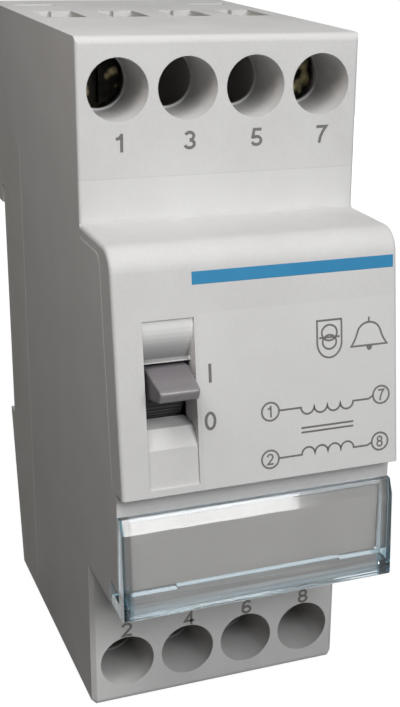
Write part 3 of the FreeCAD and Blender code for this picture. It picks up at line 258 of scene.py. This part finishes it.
def grain_group():
    """The colour, roughness and height of a moulded surface with grain and a soft mottle."""
    group, ends_in, ends_out = new_group(
        "eroded_grain",
        [
            ("NodeSocketColor", "Colour", (0.6, 0.6, 0.6, 1)),
            ("NodeSocketColor", "Shade", (0.5, 0.5, 0.5, 1)),
            ("NodeSocketFloat", "Grain Size", 0.3 * MM),
            ("NodeSocketFloat", "Mottle Size", 8 * MM),
            ("NodeSocketFloat", "Roughness", 0.5),
        ],
        [
            ("NodeSocketColor", "Colour"),
            ("NodeSocketFloat", "Roughness"),
            ("NodeSocketFloat", "Height"),
        ])
    grain = local_noise(group, ends_in.outputs["Grain Size"], 3.0, 0.65)
    mottle = local_noise(group, ends_in.outputs["Mottle Size"], 3.0, 0.6)
    fine = spread(group, grain, 0.35, 0.7, 0.0, 0.45)
    broad = spread(group, mottle, 0.35, 0.65, 0.0, 0.55)
    tone = math_node(group, "ADD", fine, broad)
    colour = blended(group, tone, ends_in.outputs["Colour"], ends_in.outputs["Shade"])
    group.links.new(colour, ends_out.inputs["Colour"])
    uneven = spread(group, mottle, 0.3, 0.7, -0.04, 0.06)
    roughness = math_node(group, "ADD", ends_in.outputs["Roughness"], uneven)
    group.links.new(roughness, ends_out.inputs["Roughness"])
    group.links.new(grain, ends_out.inputs["Height"])
    return group


def place_effect(tree, effect, **values):
    """A shared effect placed in a material, with its own values."""
    node = add(tree, "ShaderNodeGroup", node_tree=effect)
    for key, value in values.items():
        node.inputs[key.replace("_", " ")].default_value = value
    return node


def bumped(tree, shader, height, depth, normal=None):
    """Feed a height, in metres of relief, to the shader's normal."""
    bump = add(tree, "ShaderNodeBump", Strength=1.0, Distance=depth)
    tree.links.new(height, bump.inputs["Height"])
    if normal:
        tree.links.new(normal, bump.inputs["Normal"])
    tree.links.new(bump.outputs["Normal"], shader.inputs["Normal"])
    return bump.outputs["Normal"]


def soft_edges(tree, radius):
    """A normal that rounds the sharp edges of a moulding."""
    bevel = add(tree, "ShaderNodeBevel", samples=4, Radius=radius)
    return bevel.outputs["Normal"]


def matt_sides(tree, shader, shine, matt):
    """Less shine on the left and right sides, which darkens them. Returns a mask for a painted warm
    fill light on them.
    """
    turned = add(tree, "ShaderNodeSeparateXYZ")
    tree.links.new(add(tree, "ShaderNodeTexCoord").outputs["Normal"], turned.inputs[0])
    side = math_node(tree, "ABSOLUTE", turned.outputs["X"])
    tree.links.new(spread(tree, side, 0.75, 0.95, shine, matt), shader.inputs["Specular IOR Level"])
    return spread(tree, side, 0.75, 0.95, 0.0, 0.6)


def dress(names, material):
    """Give CAD pieces their finished material."""
    for name in names:
        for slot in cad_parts[name].material_slots:
            slot.material = material


grain = grain_group()


def moulded_plastic(
        name, colour, shade, roughness, grain_size=0.3, relief=0.012, specular=0.35, edge=0.1):
    """Injection-moulded plastic with the fine grain of an eroded tool, its sizes in millimetres."""
    material, tree, shader = new_material(name)
    effect = place_effect(
        tree, grain, Colour=(*colour, 1), Shade=(*shade, 1), Grain_Size=grain_size * MM,
        Mottle_Size=9 * MM, Roughness=roughness)
    tree.links.new(effect.outputs["Colour"], shader.inputs["Base Color"])
    tree.links.new(effect.outputs["Roughness"], shader.inputs["Roughness"])
    shader.inputs["Specular IOR Level"].default_value = specular
    bumped(tree, shader, effect.outputs["Height"], relief * MM, soft_edges(tree, edge * MM))
    return material, tree, shader, effect


def between(tree, value, low, high):
    """1 where a value lies between two others."""
    above = math_node(tree, "GREATER_THAN", value, low)
    return math_node(tree, "MULTIPLY", above, math_node(tree, "LESS_THAN", value, high))


def both(tree, first, *others):
    """Where all the masks hold."""
    for other in others:
        first = math_node(tree, "MULTIPLY", first, other)
    return first


def behind_cap_face(tree, parts):
    """Depth behind the cap's leaning face."""
    rise = math_node(tree, "SUBTRACT", parts.outputs["Z"], cap_low[2])
    face = math_node(tree, "ADD", math_node(tree, "MULTIPLY", rise, cap_lean), cap_low[1])
    return math_node(tree, "SUBTRACT", parts.outputs["Y"], face)


def seam_highlight_mask(tree, parts):
    """1 along the parting lines on the two sides, where a highlight on their bevelled edges is
    painted pale.
    """
    flange = 4.2 * MM
    corner = 1.5 * MM
    seam_top = 20.95 * MM
    line_half = 0.22 * MM
    behind = math_node(tree, "SUBTRACT", behind_cap_face(tree, parts), flange)
    below = math_node(tree, "SUBTRACT", seam_top, parts.outputs["Z"])
    reach = []
    for amount in (behind, below):
        left = math_node(tree, "MAXIMUM", math_node(tree, "SUBTRACT", corner, amount), 0.0)
        reach.append(math_node(tree, "POWER", left, 2.0))
    span = math_node(tree, "SQRT", math_node(tree, "ADD", *reach))
    offset = math_node(tree, "ABSOLUTE", math_node(tree, "SUBTRACT", span, corner))
    in_front = math_node(tree, "LESS_THAN", parts.outputs["Y"], cap_high[1])
    above_foot = math_node(tree, "GREATER_THAN", parts.outputs["Z"], cap_low[2])
    cap_line = both(tree, spread(tree, offset, 0.0, line_half, 1.0, 0.0), in_front, above_foot)
    base_top = 26 * MM
    offset = math_node(tree, "ABSOLUTE", math_node(tree, "SUBTRACT", parts.outputs["Y"], base_seam))
    under = math_node(tree, "LESS_THAN", parts.outputs["Z"], base_top)
    base_line = both(tree, spread(tree, offset, 0.1 * MM, 0.3 * MM, 1.0, 0.0), under)
    side = math_node(tree, "ABSOLUTE", parts.outputs["X"])
    at_side = math_node(tree, "GREATER_THAN", side, cap_high[0] - 0.25 * MM)
    return both(tree, math_node(tree, "MAXIMUM", cap_line, base_line), at_side)


def recess_shade_mask(tree, parts):
    """How strong the painted shade is inside the ways, the chambers behind them and the lower
    pocket.
    """
    wall = 0.7 * MM
    chamber_front = (-34.9 * MM, -34.4 * MM)
    chamber_reach = 41.3 * MM
    way_depth = (-43.0 * MM, -34.5 * MM)
    lower_ways = (-41.3 * MM, -33.7 * MM)
    pocket_sides = (-14.5 * MM, -7.9 * MM)
    scoop_height = (8.9 * MM, 14.2 * MM)
    scoop_fade = (9.2 * MM, 12.6 * MM)
    side = math_node(tree, "ABSOLUTE", parts.outputs["X"])
    inside = math_node(tree, "LESS_THAN", side, cap_high[0] - wall)
    level = math_node(tree, "ABSOLUTE", parts.outputs["Z"])
    chamber = both(
        tree, spread(tree, parts.outputs["Y"], *chamber_front, 0.0, 0.72), inside,
        math_node(tree, "LESS_THAN", level, chamber_reach))
    ways = both(
        tree, spread(tree, parts.outputs["Y"], *way_depth, 0.0, 0.66), inside,
        between(tree, parts.outputs["Z"], *lower_ways))
    pocket = both(
        tree, spread(tree, parts.outputs["Z"], *scoop_fade, 0.5, 0.0),
        between(tree, parts.outputs["X"], *pocket_sides),
        between(tree, parts.outputs["Z"], *scoop_height),
        math_node(tree, "GREATER_THAN", behind_cap_face(tree, parts), 0.4 * MM))
    return math_node(tree, "MAXIMUM", math_node(tree, "MAXIMUM", chamber, ways), pocket)


def housing_plastic():
    """The housing's grey, with paler bands in front and painted shade in the recesses, painted
    light in the pocket and on the seams, and painted warm fill light on the sides.
    """
    block_pale_band = (22.5 * MM, 27.4 * MM)
    cap_pale_band = (-7.5 * MM, 14.5 * MM)
    cap_pale_band_side = -7.6 * MM
    front_line_half = 0.08 * MM
    front_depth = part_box("housing")[0][1] + 14 * MM
    pocket_top = 14.2 * MM
    right_wall = (-8.3 * MM, -8.0 * MM)
    wall_foot = 1.2 * MM
    scoop_sides = (-14.5 * MM, -8.3 * MM)
    scoop_fade = (11.0 * MM, 13.8 * MM)
    material, tree, shader, effect = moulded_plastic(
        "pale_grey_plastic", (0.612, 0.611, 0.608), (0.553, 0.550, 0.547), 0.62, specular=0.15)
    parts = add(tree, "ShaderNodeSeparateXYZ")
    tree.links.new(add(tree, "ShaderNodeTexCoord").outputs["Object"], parts.inputs[0])
    height = parts.outputs["Z"]
    in_front = math_node(tree, "LESS_THAN", parts.outputs["Y"], front_depth)
    # Paler bands across the front, with a dark line along the top of the upper one.
    on_block = both(tree, between(tree, height, *block_pale_band), in_front)
    on_cap = both(
        tree, between(tree, height, *cap_pale_band), in_front,
        math_node(tree, "GREATER_THAN", parts.outputs["X"], cap_pale_band_side))
    paler = math_node(tree, "MULTIPLY", math_node(tree, "MAXIMUM", on_block, on_cap), 0.28)
    colour = blended(tree, paler, effect.outputs["Colour"], (0.665, 0.665, 0.662))
    offset = math_node(tree, "ABSOLUTE", math_node(tree, "SUBTRACT", height, block_pale_band[1]))
    line = both(tree, math_node(tree, "LESS_THAN", offset, front_line_half), in_front)
    colour = blended(tree, math_node(tree, "MULTIPLY", line, 0.22), colour, (0.38, 0.38, 0.38))
    # Painted shade: the ways, the chambers behind them and the lower pocket are darkened.
    colour = blended(tree, recess_shade_mask(tree, parts), colour, (0.035, 0.034, 0.034))
    # Painted light: the pocket's right wall is made pale.
    wall = both(
        tree, between(tree, parts.outputs["X"], *right_wall),
        between(tree, height, wall_foot, pocket_top),
        math_node(tree, "GREATER_THAN", behind_cap_face(tree, parts), 0.15 * MM))
    colour = blended(tree, wall, colour, (0.86, 0.86, 0.855))
    # Painted light: the upper scoop of the pocket is made pale.
    scoop_painted_light = both(
        tree, spread(tree, height, *scoop_fade, 0.0, 0.9),
        between(tree, parts.outputs["X"], *scoop_sides),
        math_node(tree, "LESS_THAN", height, pocket_top),
        math_node(tree, "GREATER_THAN", behind_cap_face(tree, parts), 0.1 * MM))
    colour = blended(tree, scoop_painted_light, colour, (0.80, 0.80, 0.795))
    # Painted warm fill light on the left and right sides.
    colour = blended(tree, matt_sides(tree, shader, 0.15, 0.025), colour, (0.68, 0.645, 0.62))
    # Painted highlights along the seams.
    lit = math_node(tree, "MULTIPLY", seam_highlight_mask(tree, parts), 0.9)
    tree.links.new(blended(tree, lit, colour, (0.98, 0.96, 0.94)), shader.inputs["Base Color"])
    return material


def base_plastic():
    """The same grey, a little darker, with a painted highlight along the seam against the housing
    and painted warm fill light on the sides.
    """
    material, tree, shader, effect = moulded_plastic(
        "pale_grey_plastic_rear", (0.565, 0.562, 0.553), (0.505, 0.501, 0.494), 0.62, specular=0.15)
    parts = add(tree, "ShaderNodeSeparateXYZ")
    tree.links.new(add(tree, "ShaderNodeTexCoord").outputs["Object"], parts.inputs[0])
    # Painted highlight along the seam against the housing.
    base_seam_highlight = spread(tree, parts.outputs["Y"], base_seam, base_seam + 0.25 * MM, 0.6, 0.0)
    # Painted warm fill light on the left and right sides.
    colour = blended(
        tree, matt_sides(tree, shader, 0.15, 0.035), effect.outputs["Colour"], (0.69, 0.665, 0.62))
    tree.links.new(blended(tree, base_seam_highlight, colour, (0.85, 0.85, 0.84)), shader.inputs["Base Color"])
    return material


cap_low, cap_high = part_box("front_cap")
cap_lean = math.tan(math.radians(7.45))
base_seam = -12 * MM
dress(["housing", "front_cap"], housing_plastic())
dress(["rear_base"], base_plastic())


# The switch lever. It is one darker moulding of finger piece, drum and plunger sleeve, a little
# glossier than the housing, and it turns on a steel pin.
def lever_plastic():
    """Dark grey plastic, duller towards the drum, with painted shade towards the drum, darkest in
    its grooves.
    """
    material, tree, shader, effect = moulded_plastic(
        "dark_grey_plastic", (0.208, 0.196, 0.206), (0.178, 0.167, 0.177), 0.25,
        grain_size=0.2, relief=0.004, specular=0.5, edge=0.22)
    from_pivot = add(tree, "ShaderNodeVectorMath", operation="SUBTRACT")
    tree.links.new(add(tree, "ShaderNodeTexCoord").outputs["Object"], from_pivot.inputs[0])
    from_pivot.inputs[1].default_value = lever_pivot
    flat = add(tree, "ShaderNodeVectorMath", operation="MULTIPLY")
    flat.inputs[1].default_value = (0, 1, 1)
    tree.links.new(from_pivot.outputs[0], flat.inputs[0])
    distance = add(tree, "ShaderNodeVectorMath", operation="LENGTH")
    tree.links.new(flat.outputs[0], distance.inputs[0])
    # Painted shade: darker towards the drum, and darkest in the drum's grooves below.
    near_drum = spread(tree, distance.outputs["Value"], drum_radius, finger_root, 0.70, 0.0)
    colour = blended(tree, near_drum, effect.outputs["Colour"], (0.056, 0.051, 0.060))
    dull = math_node(tree, "MULTIPLY", near_drum, 0.45)
    roughness = math_node(tree, "ADD", effect.outputs["Roughness"], dull)
    tree.links.new(roughness, shader.inputs["Roughness"])
    painted_drum_shade = spread(tree, distance.outputs["Value"], groove_radius, drum_radius, 0.92, 0.0)
    tree.links.new(blended(tree, painted_drum_shade, colour, (0.018, 0.018, 0.020)), shader.inputs["Base Color"])
    matt_sides(tree, shader, 0.5, 0.0)
    return material


lever_pivot = Vector((0, -49.501, 4.975)) * MM
groove_radius = 5.65 * MM
drum_radius = 5.8 * MM
finger_root = 10.6 * MM
dress(["switch_lever"], lever_plastic())


# The rail clip, the plunger, the cutout and the coil former. They are black nylon mouldings that
# hardly show, with a smoother finish than the housing.
dress(["rail_clip", "switch_plunger", "thermal_cutout"], moulded_plastic(
    "dark_nylon", (0.075, 0.075, 0.078), (0.055, 0.055, 0.058), 0.42, specular=0.5)[0])
dress(["coil_bobbin"], moulded_plastic(
    "former_nylon", (0.030, 0.030, 0.033), (0.020, 0.020, 0.022), 0.4, specular=0.5)[0])


# The label flap. It is clear polycarbonate, polished, with a matt upper edge and a lower bar where
# the nails lift it, drawn in fine streaks. Refracted light and shade are painted in streaks on the
# bar and on its rim, lug and ends. It hinges on two stubs low in the nose. A plain grey card lies
# behind it in a recess, its darker warm grey partly painted shade.
def scratch_group():
    """A mask of thin straight scratches that run mostly one way."""
    group, ends_in, ends_out = new_group(
        "fine_scratches",
        [("NodeSocketFloat", "Spacing", 2 * MM), ("NodeSocketVector", "Stretch", (1, 0.04, 1))],
        [("NodeSocketFloat", "Mask")])
    place = add(group, "ShaderNodeTexCoord")
    stretch = add(group, "ShaderNodeVectorMath", operation="MULTIPLY")
    group.links.new(place.outputs["Object"], stretch.inputs[0])
    group.links.new(ends_in.outputs["Stretch"], stretch.inputs[1])
    noise = add(group, "ShaderNodeTexNoise", Detail=4.0, Roughness=0.7)
    group.links.new(stretch.outputs[0], noise.inputs["Vector"])
    scale = math_node(group, "DIVIDE", 1.0, ends_in.outputs["Spacing"])
    group.links.new(scale, noise.inputs["Scale"])
    group.links.new(spread(group, noise.outputs["Fac"], 0.6, 0.68), ends_out.inputs["Mask"])
    return group


scratches = scratch_group()


def clear_plastic():
    """Clear plastic whose long light paths turn blue, with drawn streaks along its lower bar, and
    painted refracted light and shade on the bar, rim, lug and ends.
    """
    material, tree, shader = new_material("clear_polycarbonate")
    shader.inputs["Transmission Weight"].default_value = 1.0
    shader.inputs["IOR"].default_value = 1.5
    marks = place_effect(tree, scratches, Spacing=0.4 * MM, Stretch=(0.06, 1, 1))
    haze = spread(tree, local_noise(tree, 5 * MM, 3.0), 0.4, 0.8, 0.05, 0.09)
    rough = math_node(tree, "ADD", haze, math_node(tree, "MULTIPLY", marks.outputs["Mask"], 0.05))
    parts = add(tree, "ShaderNodeSeparateXYZ")
    tree.links.new(add(tree, "ShaderNodeTexCoord").outputs["Object"], parts.inputs[0])
    height = parts.outputs["Z"]
    side = math_node(tree, "ABSOLUTE", parts.outputs["X"])
    flap_low, flap_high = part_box("label_flap")
    top = flap_high[2]
    bottom = flap_low[2]
    bar_top = bottom + 3.1 * MM
    foot_top = bar_top - 1.4 * MM
    rim_inside = flap_high[0] - 1.2 * MM
    on_top = spread(tree, height, top - 0.12 * MM, top - 0.04 * MM, 0.0, 0.8)
    tree.links.new(math_node(tree, "MAXIMUM", rough, on_top), shader.inputs["Roughness"])
    on_bar = spread(tree, height, bar_top - 0.3 * MM, bar_top, 1.0, 0.0)
    on_foot = spread(tree, height, foot_top - 0.4 * MM, foot_top, 1.0, 0.0)
    on_edge = spread(tree, height, bottom + 0.15 * MM, bottom + 0.3 * MM, 1.0, 0.0)
    on_rim = spread(tree, side, rim_inside - 0.1 * MM, rim_inside + 0.1 * MM)
    streaks = local_noise(tree, 0.4 * MM, 2.0, 0.5, stretch=(0.02, 1, 1))
    lines = spread(tree, streaks, 0.35, 0.6)
    # The bar's warm grey and pale streaks, the blue-white foot and the blue-white lower edge are
    # painted refracted light and shade.
    greyish = blended(tree, lines, (0.56, 0.49, 0.46), (0.82, 0.74, 0.71))
    streaky = blended(tree, lines, (0.84, 0.91, 0.95), (1, 1, 1))
    colour = blended(tree, on_bar, (0.965, 0.970, 0.975), greyish)
    # The rim's warm grey is painted shade.
    colour = blended(tree, on_rim, colour, (0.60, 0.545, 0.525))
    colour = blended(tree, on_foot, colour, streaky)
    colour = blended(tree, on_edge, colour, (0.86, 0.93, 0.97))
    on_end = math_node(tree, "GREATER_THAN", side, flap_high[0] - 0.3 * MM)
    on_lug = both(tree, on_rim, math_node(tree, "LESS_THAN", height, bar_top + 0.6 * MM))
    # The lug and the ends are painted dark blue, with their reflections tinted blue, as painted
    # refracted light.
    colour = blended(tree, on_lug, colour, (0.28, 0.40, 0.46))
    colour = blended(tree, on_end, colour, (0.24, 0.34, 0.39))
    tree.links.new(colour, shader.inputs["Base Color"])
    tree.links.new(
        blended(tree, on_end, (1, 1, 1), (0.16, 0.30, 0.36)), shader.inputs["Specular Tint"])
    bumped(tree, shader, math_node(tree, "MULTIPLY", streaks, on_bar), 0.05 * MM)
    absorption = add(
        tree, "ShaderNodeVolumeAbsorption", Color=(0.10, 0.36, 0.46, 1), Density=115.0)
    tree.links.new(absorption.outputs[0], tree.nodes["Material Output"].inputs["Volume"])
    return material


dress(["label_flap"], clear_plastic())
# The card's darker warm grey is partly painted shade, as it looks behind the flap.
dress(["label_card"], moulded_plastic(
    "grey_card", (0.392, 0.352, 0.325), (0.364, 0.325, 0.299), 0.8,
    grain_size=0.25, relief=0.01, specular=0.2)[0])


# The print on the front. Grey and blue ink is laid on the moulding by pad, so each mark is a thin
# film on the surface: the way numbers, the switch marks, a blue bar and plain circuit symbols.
ink_lift = 0.012 * MM
layer_step = 0.02
sharpest_mitre = 0.35
figure_middle = 0.32
block_face = -44 * MM


def cap_face(height):
    """Y of the cap's leaning face at a height."""
    return cap_low[1] + (height - cap_low[2]) * cap_lean


def upright_face(height):
    """Y of the upright front of the terminal blocks."""
    return block_face


def new_piece(name, mesh, body, material):
    """A mesh as a piece of its own, that moves with a body."""
    mesh.update()
    mesh.validate()
    piece = bpy.data.objects.new(name, mesh)
    bpy.context.scene.collection.objects.link(piece)
    mesh.materials.append(material)
    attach(piece, body)
    return piece


def film(name, loops, surface, material):
    """A thin closed film on a front surface, from strips given as pairs of points.

    Where strips cross, each lies a little higher than the one before.
    """
    points = []
    faces = []
    for layer, (pairs, closed) in enumerate(loops):
        start = len(points)
        top = ink_lift * (1 + layer_step * layer)
        for pair in pairs:
            for x, z in pair:
                for lift in (0.0, top):
                    points.append((x, surface(z) - lift, z))
        count = len(pairs)
        for index in range(count if closed else count - 1):
            here = start + 4 * index
            there = start + 4 * ((index + 1) % count)
            for a, b in ((0, 1), (1, 3), (3, 2), (2, 0)):
                faces.append((here + a, here + b, there + b, there + a))
        if not closed:
            faces.append((start, start + 2, start + 3, start + 1))
            last = start + 4 * (count - 1)
            faces.append((last, last + 1, last + 3, last + 2))
    mesh = bpy.data.meshes.new(name)
    mesh.from_pydata(points, [], faces)
    return new_piece(name, mesh, "main", material)


def strip(route, width, closed=False):
    """A flat strip of even width along a route in millimetres, mitred at its corners."""
    points = [Vector((x, z)) * MM for x, z in route]
    count = len(points)
    pairs = []
    for index, point in enumerate(points):
        before = points[index - 1] if closed or index else point
        after = points[(index + 1) % count] if closed or index < count - 1 else point
        into = (point - before).normalized() if point != before else (after - point).normalized()
        away = (after - point).normalized() if point != after else into
        side = Vector((-(into + away).y, (into + away).x)).normalized()
        reach = width * MM / 2 / max(sharpest_mitre, side.dot(Vector((-into.y, into.x))))
        pairs.append((tuple(point + side * reach), tuple(point - side * reach)))
    return pairs, closed


def arc(centre, radius, start, end, steps=14, squash=1.0):
    """Points along an arc, with its angles in degrees."""
    angles = [math.radians(start + (end - start) * step / steps) for step in range(steps + 1)]
    tall = radius * squash
    return [(centre[0] + radius * math.cos(a), centre[1] + tall * math.sin(a)) for a in angles]


def oval(centre, radius, squash=1.0):
    """Points round a ring, for a strip that closes on itself."""
    return arc(centre, radius, 0, 360, 28, squash)[:-1]


def ink(name, colour, shade):
    """Pad-printed ink: matt, and slightly uneven over the grain."""
    return moulded_plastic(name, colour, shade, 0.5, grain_size=0.15, relief=0.003)[0]


grey_ink = ink("grey_ink", (0.130, 0.125, 0.118), (0.175, 0.170, 0.163))
blue_ink = ink("blue_ink", (0.018, 0.190, 0.375), (0.024, 0.215, 0.405))

# Each figure's strokes, in a field one high: open routes, and ovals that close on themselves.
FIGURES = {
    "0": ([], [oval((0.32, 0.5), 0.235, 1.81)]),
    "1": ([[(0.36, 0.0), (0.36, 1.0)], [(0.10, 0.715), (0.26, 0.76), (0.36, 0.93)]], []),
    "2": ([arc((0.31, 0.685), 0.225, 175, -38, squash=1.07) + [(0.10, 0.075), (0.58, 0.075)]], []),
    "3": ([arc((0.30, 0.715), 0.195, 160, -90, squash=1.08),
           arc((0.30, 0.285), 0.225, 90, -165, squash=0.95)], []),
    "4": ([[(0.62, 0.27), (0.09, 0.27), (0.44, 0.90), (0.44, 0.0)]], []),
    "5": ([[(0.54, 0.925), (0.18, 0.925), (0.12, 0.50)] + arc((0.30, 0.30), 0.225, 120, -160)], []),
    "6": ([[(0.085, 0.32), (0.10, 0.58), (0.18, 0.82), (0.32, 0.925), (0.45, 0.90), (0.52, 0.79)]],
          [oval((0.31, 0.30), 0.225)]),
    "7": ([[(0.07, 0.925), (0.56, 0.925), (0.40, 0.65), (0.28, 0.33), (0.23, 0.0)]], []),
    "8": ([], [oval((0.31, 0.72), 0.190, 1.08), oval((0.31, 0.295), 0.225)]),
}


def figure(name, digit, centre, height, surface, weight, broad=1.0):
    """A plain grotesque numeral, set by its centre, height and stroke width in millimetres."""
    across = broad * height
    left = centre[0] - figure_middle * across
    foot = centre[1] - height / 2

    def placed(route):
        return [(left + u * across, foot + v * height) for u, v in route]

    routes, ovals = FIGURES[digit]
    loops = [strip(placed(route), weight) for route in routes]
    loops += [strip(placed(route), weight, closed=True) for route in ovals]
    film(name, loops, surface, grey_ink)


for digit, x in (("1", -12.4), ("3", -4.0), ("5", 4.45), ("7", 12.9)):
    figure(f"number_{digit}", digit, (x, 31.5), 2.15, upright_face, 0.37, 1.22)
for digit, x in (("2", -12.65), ("4", -4.0), ("6", 4.3), ("8", 12.7)):
    figure(f"number_{digit}", digit, (x, -32.7), 2.05, upright_face, 0.36, 1.22)

bar_ends = (-8.2 * MM, 16.95 * MM)
bar_edges = (17.81 * MM, 19.27 * MM)
bar = [tuple((x, z) for z in bar_edges) for x in bar_ends]
film("blue_bar", [(bar, False)], cap_face, blue_ink)
figure("mark_off", "0", (-6.62, 2.03), 2.2, cap_face, 0.34, 1.05)
film("mark_on", [strip([(-6.46, 6.50), (-6.46, 8.70)], 0.36)], cap_face, grey_ink)

# The circuit symbols: numbered rings for the ways, joined to the two windings of the transformer.
ring_radius = 1.08
fine_line = 0.23
ways = {"1": (0.80, 2.19), "7": (15.24, 2.52), "2": (0.64, -3.55), "8": (15.02, -3.26)}
loops = [strip(oval(place, ring_radius), fine_line, closed=True) for place in ways.values()]
hump = 0.85
hump_count = 4
first_hump = 4.7
for left, other, swing in (("1", "7", 180), ("2", "8", -180)):
    start = ways[left]
    end = ways[other]
    level = start[1]
    route = [(start[0] + ring_radius, level), (first_hump, level)]
    for index in range(hump_count):
        centre = (first_hump + hump * (2 * index + 1), level)
        route += arc(centre, hump, 180, 180 + swing, 12)[1:]
    route += [(end[0] - ring_radius - 0.6, level), (end[0] - ring_radius, end[1])]
    loops.append(strip(route, fine_line))
last_hump = first_hump + 2 * hump * hump_count
for level in (-0.30, -0.85):
    loops.append(strip([(first_hump, level), (last_hump, level)], fine_line))
film("way_symbols", loops, cap_face, grey_ink)
for digit, place in ways.items():
    figure(f"ring_number_{digit}", digit, place, 1.40, cap_face, 0.21, 1.05)

# A plain bell and a plain shield with two linked rings stand beside them.
bell = [(11.35, 8.75), (16.05, 8.75), (15.66, 9.35), (15.40, 9.90)]
bell += arc((13.7, 10.05), 1.57, 10, 170, 14, 0.94)
bell += [(12.00, 9.90), (11.74, 9.35)]
swell = ((13.34, 8.55), (13.44, 8.28), (13.62, 8.13), (13.83, 8.13), (14.01, 8.28), (14.11, 8.55))
clapper = [((x * MM, 8.72 * MM), (x * MM, z * MM)) for x, z in swell]
film("bell_symbol", [
    strip(bell, fine_line, closed=True), (clapper, False),
    strip([(13.7, 11.5), (13.7, 12.15)], fine_line),
], cap_face, grey_ink)
shield = [(6.95, 12.25), (10.1, 12.25), (10.1, 9.6)]
shield += arc((8.525, 9.6), 1.575, 0, -180, 18, 1.15)[1:]
film("shield_symbol", [
    strip(shield, fine_line, closed=True),
    strip(oval((8.525, 10.75), 0.98, 0.95), fine_line, closed=True),
    strip(oval((8.525, 9.65), 0.88, 0.95), fine_line, closed=True),
    strip([(7.2, 10.2), (9.85, 10.2)], fine_line),
], cap_face, grey_ink)


# The terminals and the small metal parts. Screws, painted near black as shade with a few painted
# brassy glints, draw passivated steel cages to flat bars of tinned brass. The switch contacts and
# the coil's pins are tinned brass too, and the lever's pin and the springs are spring steel.
def metal(name, colour, shade, roughness, along=(1, 1, 1), mottle=2.5):
    """Metal with a fine drawn or tumbled surface."""
    material, tree, shader = new_material(name)
    shader.inputs["Metallic"].default_value = 1.0
    effect = place_effect(
        tree, grain, Colour=(*colour, 1), Shade=(*shade, 1), Grain_Size=0.5 * MM,
        Mottle_Size=mottle * MM, Roughness=roughness)
    marks = place_effect(tree, scratches, Spacing=0.25 * MM, Stretch=along)
    tree.links.new(effect.outputs["Colour"], shader.inputs["Base Color"])
    wear_and_glints = math_node(tree, "MULTIPLY", marks.outputs["Mask"], 0.12)
    uneven = math_node(tree, "ADD", effect.outputs["Roughness"], wear_and_glints)
    tree.links.new(uneven, shader.inputs["Roughness"])
    first = bumped(tree, shader, effect.outputs["Height"], 0.006 * MM)
    bumped(tree, shader, marks.outputs["Mask"], 0.003 * MM, first)
    return material


def screw_metal():
    """Steel painted near black as shade, with painted brassy glints in a few spots."""
    material = metal(
        "dull_screw_steel", (0.018, 0.017, 0.013), (0.006, 0.006, 0.006), 0.36, mottle=1.6)
    tree = material.node_tree
    shader = tree.nodes["Principled BSDF"]
    dark = shader.inputs["Base Color"].links[0].from_socket
    # Painted glints: a few brassy spots on the dark steel, which itself is painted shade.
    wear_and_glints = spread(tree, local_noise(tree, 2.6 * MM, 2.0, 0.5), 0.56, 0.72)
    tree.links.new(blended(tree, wear_and_glints, dark, (0.40, 0.34, 0.19)), shader.inputs["Base Color"])
    return material


LIVE = ("1", "7", "2", "8")
dress([f"terminal_screw_{way}" for way in LIVE], screw_metal())
dress([f"terminal_cage_{way}" for way in LIVE], metal(
    "passivated_steel", (0.50, 0.44, 0.28), (0.36, 0.31, 0.19), 0.34))
tinned = metal("tinned_brass", (0.62, 0.57, 0.45), (0.50, 0.44, 0.32), 0.35, (0.05, 1, 1))
dress([f"terminal_bar_{way}" for way in LIVE], tinned)
dress(["contact_rocker", "rocker_support_strip", "fixed_contact_strip", "bobbin_pins"], tinned)
dress(["lever_pin", "plunger_spring", "clip_spring"], metal(
    "spring_steel", (0.48, 0.48, 0.50), (0.36, 0.36, 0.38), 0.3, (0.05, 1, 1)))


# The transformer inside. The core is two stacks of varnished sheets, and the coils are enamelled
# copper wound on a black former under yellow tape.
def banded(name, colour, gap, axis, spacing, metallic, roughness, relief):
    """Stacked sheets or wound wire: fine even bands along one axis, with sizes in millimetres."""
    radians_per_metre = 20
    material, tree, shader = new_material(name)
    shader.inputs["Metallic"].default_value = metallic
    place = add(tree, "ShaderNodeTexCoord")
    bands = add(
        tree, "ShaderNodeTexWave", wave_type="BANDS", bands_direction=axis, wave_profile="SIN")
    bands.inputs["Scale"].default_value = 2 * math.pi / radians_per_metre / (spacing * MM)
    bands.inputs["Distortion"].default_value = 0.4
    tree.links.new(place.outputs["Object"], bands.inputs["Vector"])
    spots = local_noise(tree, 3 * MM, 3.0)
    faded = spread(tree, spots, 0.3, 0.7, 0.7, 1.0)
    tone = math_node(tree, "MULTIPLY", bands.outputs["Fac"], faded)
    tree.links.new(blended(tree, tone, gap, colour), shader.inputs["Base Color"])
    uneven = spread(tree, spots, 0.3, 0.7, roughness - 0.06, roughness + 0.08)
    tree.links.new(uneven, shader.inputs["Roughness"])
    bumped(tree, shader, bands.outputs["Fac"], relief * MM)
    return material


dress(["core_e_stack", "core_i_stack"], banded(
    "varnished_sheets", (0.16, 0.16, 0.17), (0.03, 0.028, 0.025), "X", 0.5, 0.8, 0.4, 0.03))
dress(["primary_winding", "secondary_winding"], banded(
    "enamelled_copper", (0.62, 0.24, 0.10), (0.22, 0.07, 0.03), "Y", 0.35, 0.9, 0.3, 0.05))
dress(["primary_tape", "secondary_tape"], banded(
    "polyester_tape", (0.80, 0.55, 0.06), (0.66, 0.44, 0.04), "Y", 4.5, 0.0, 0.25, 0.01))


# The inner leads. Soft insulated wire joins the terminal bars to the pins of the coil former, from
# way 1 through the switch. It is brown and blue on the mains side and red on the bell side.
def insulation(name, colour):
    """Soft, slightly shiny wire insulation."""
    shade = tuple(part * 0.75 for part in colour)
    return moulded_plastic(name, colour, shade, 0.35, grain_size=0.6, relief=0.004, specular=0.5)[0]


dress(["lead_terminal_1", "lead_switch"], insulation("brown_insulation", (0.12, 0.045, 0.02)))
dress(["lead_terminal_7"], insulation("blue_insulation", (0.02, 0.09, 0.33)))
dress(["lead_terminal_2", "lead_terminal_8"], insulation("red_insulation", (0.38, 0.02, 0.015)))
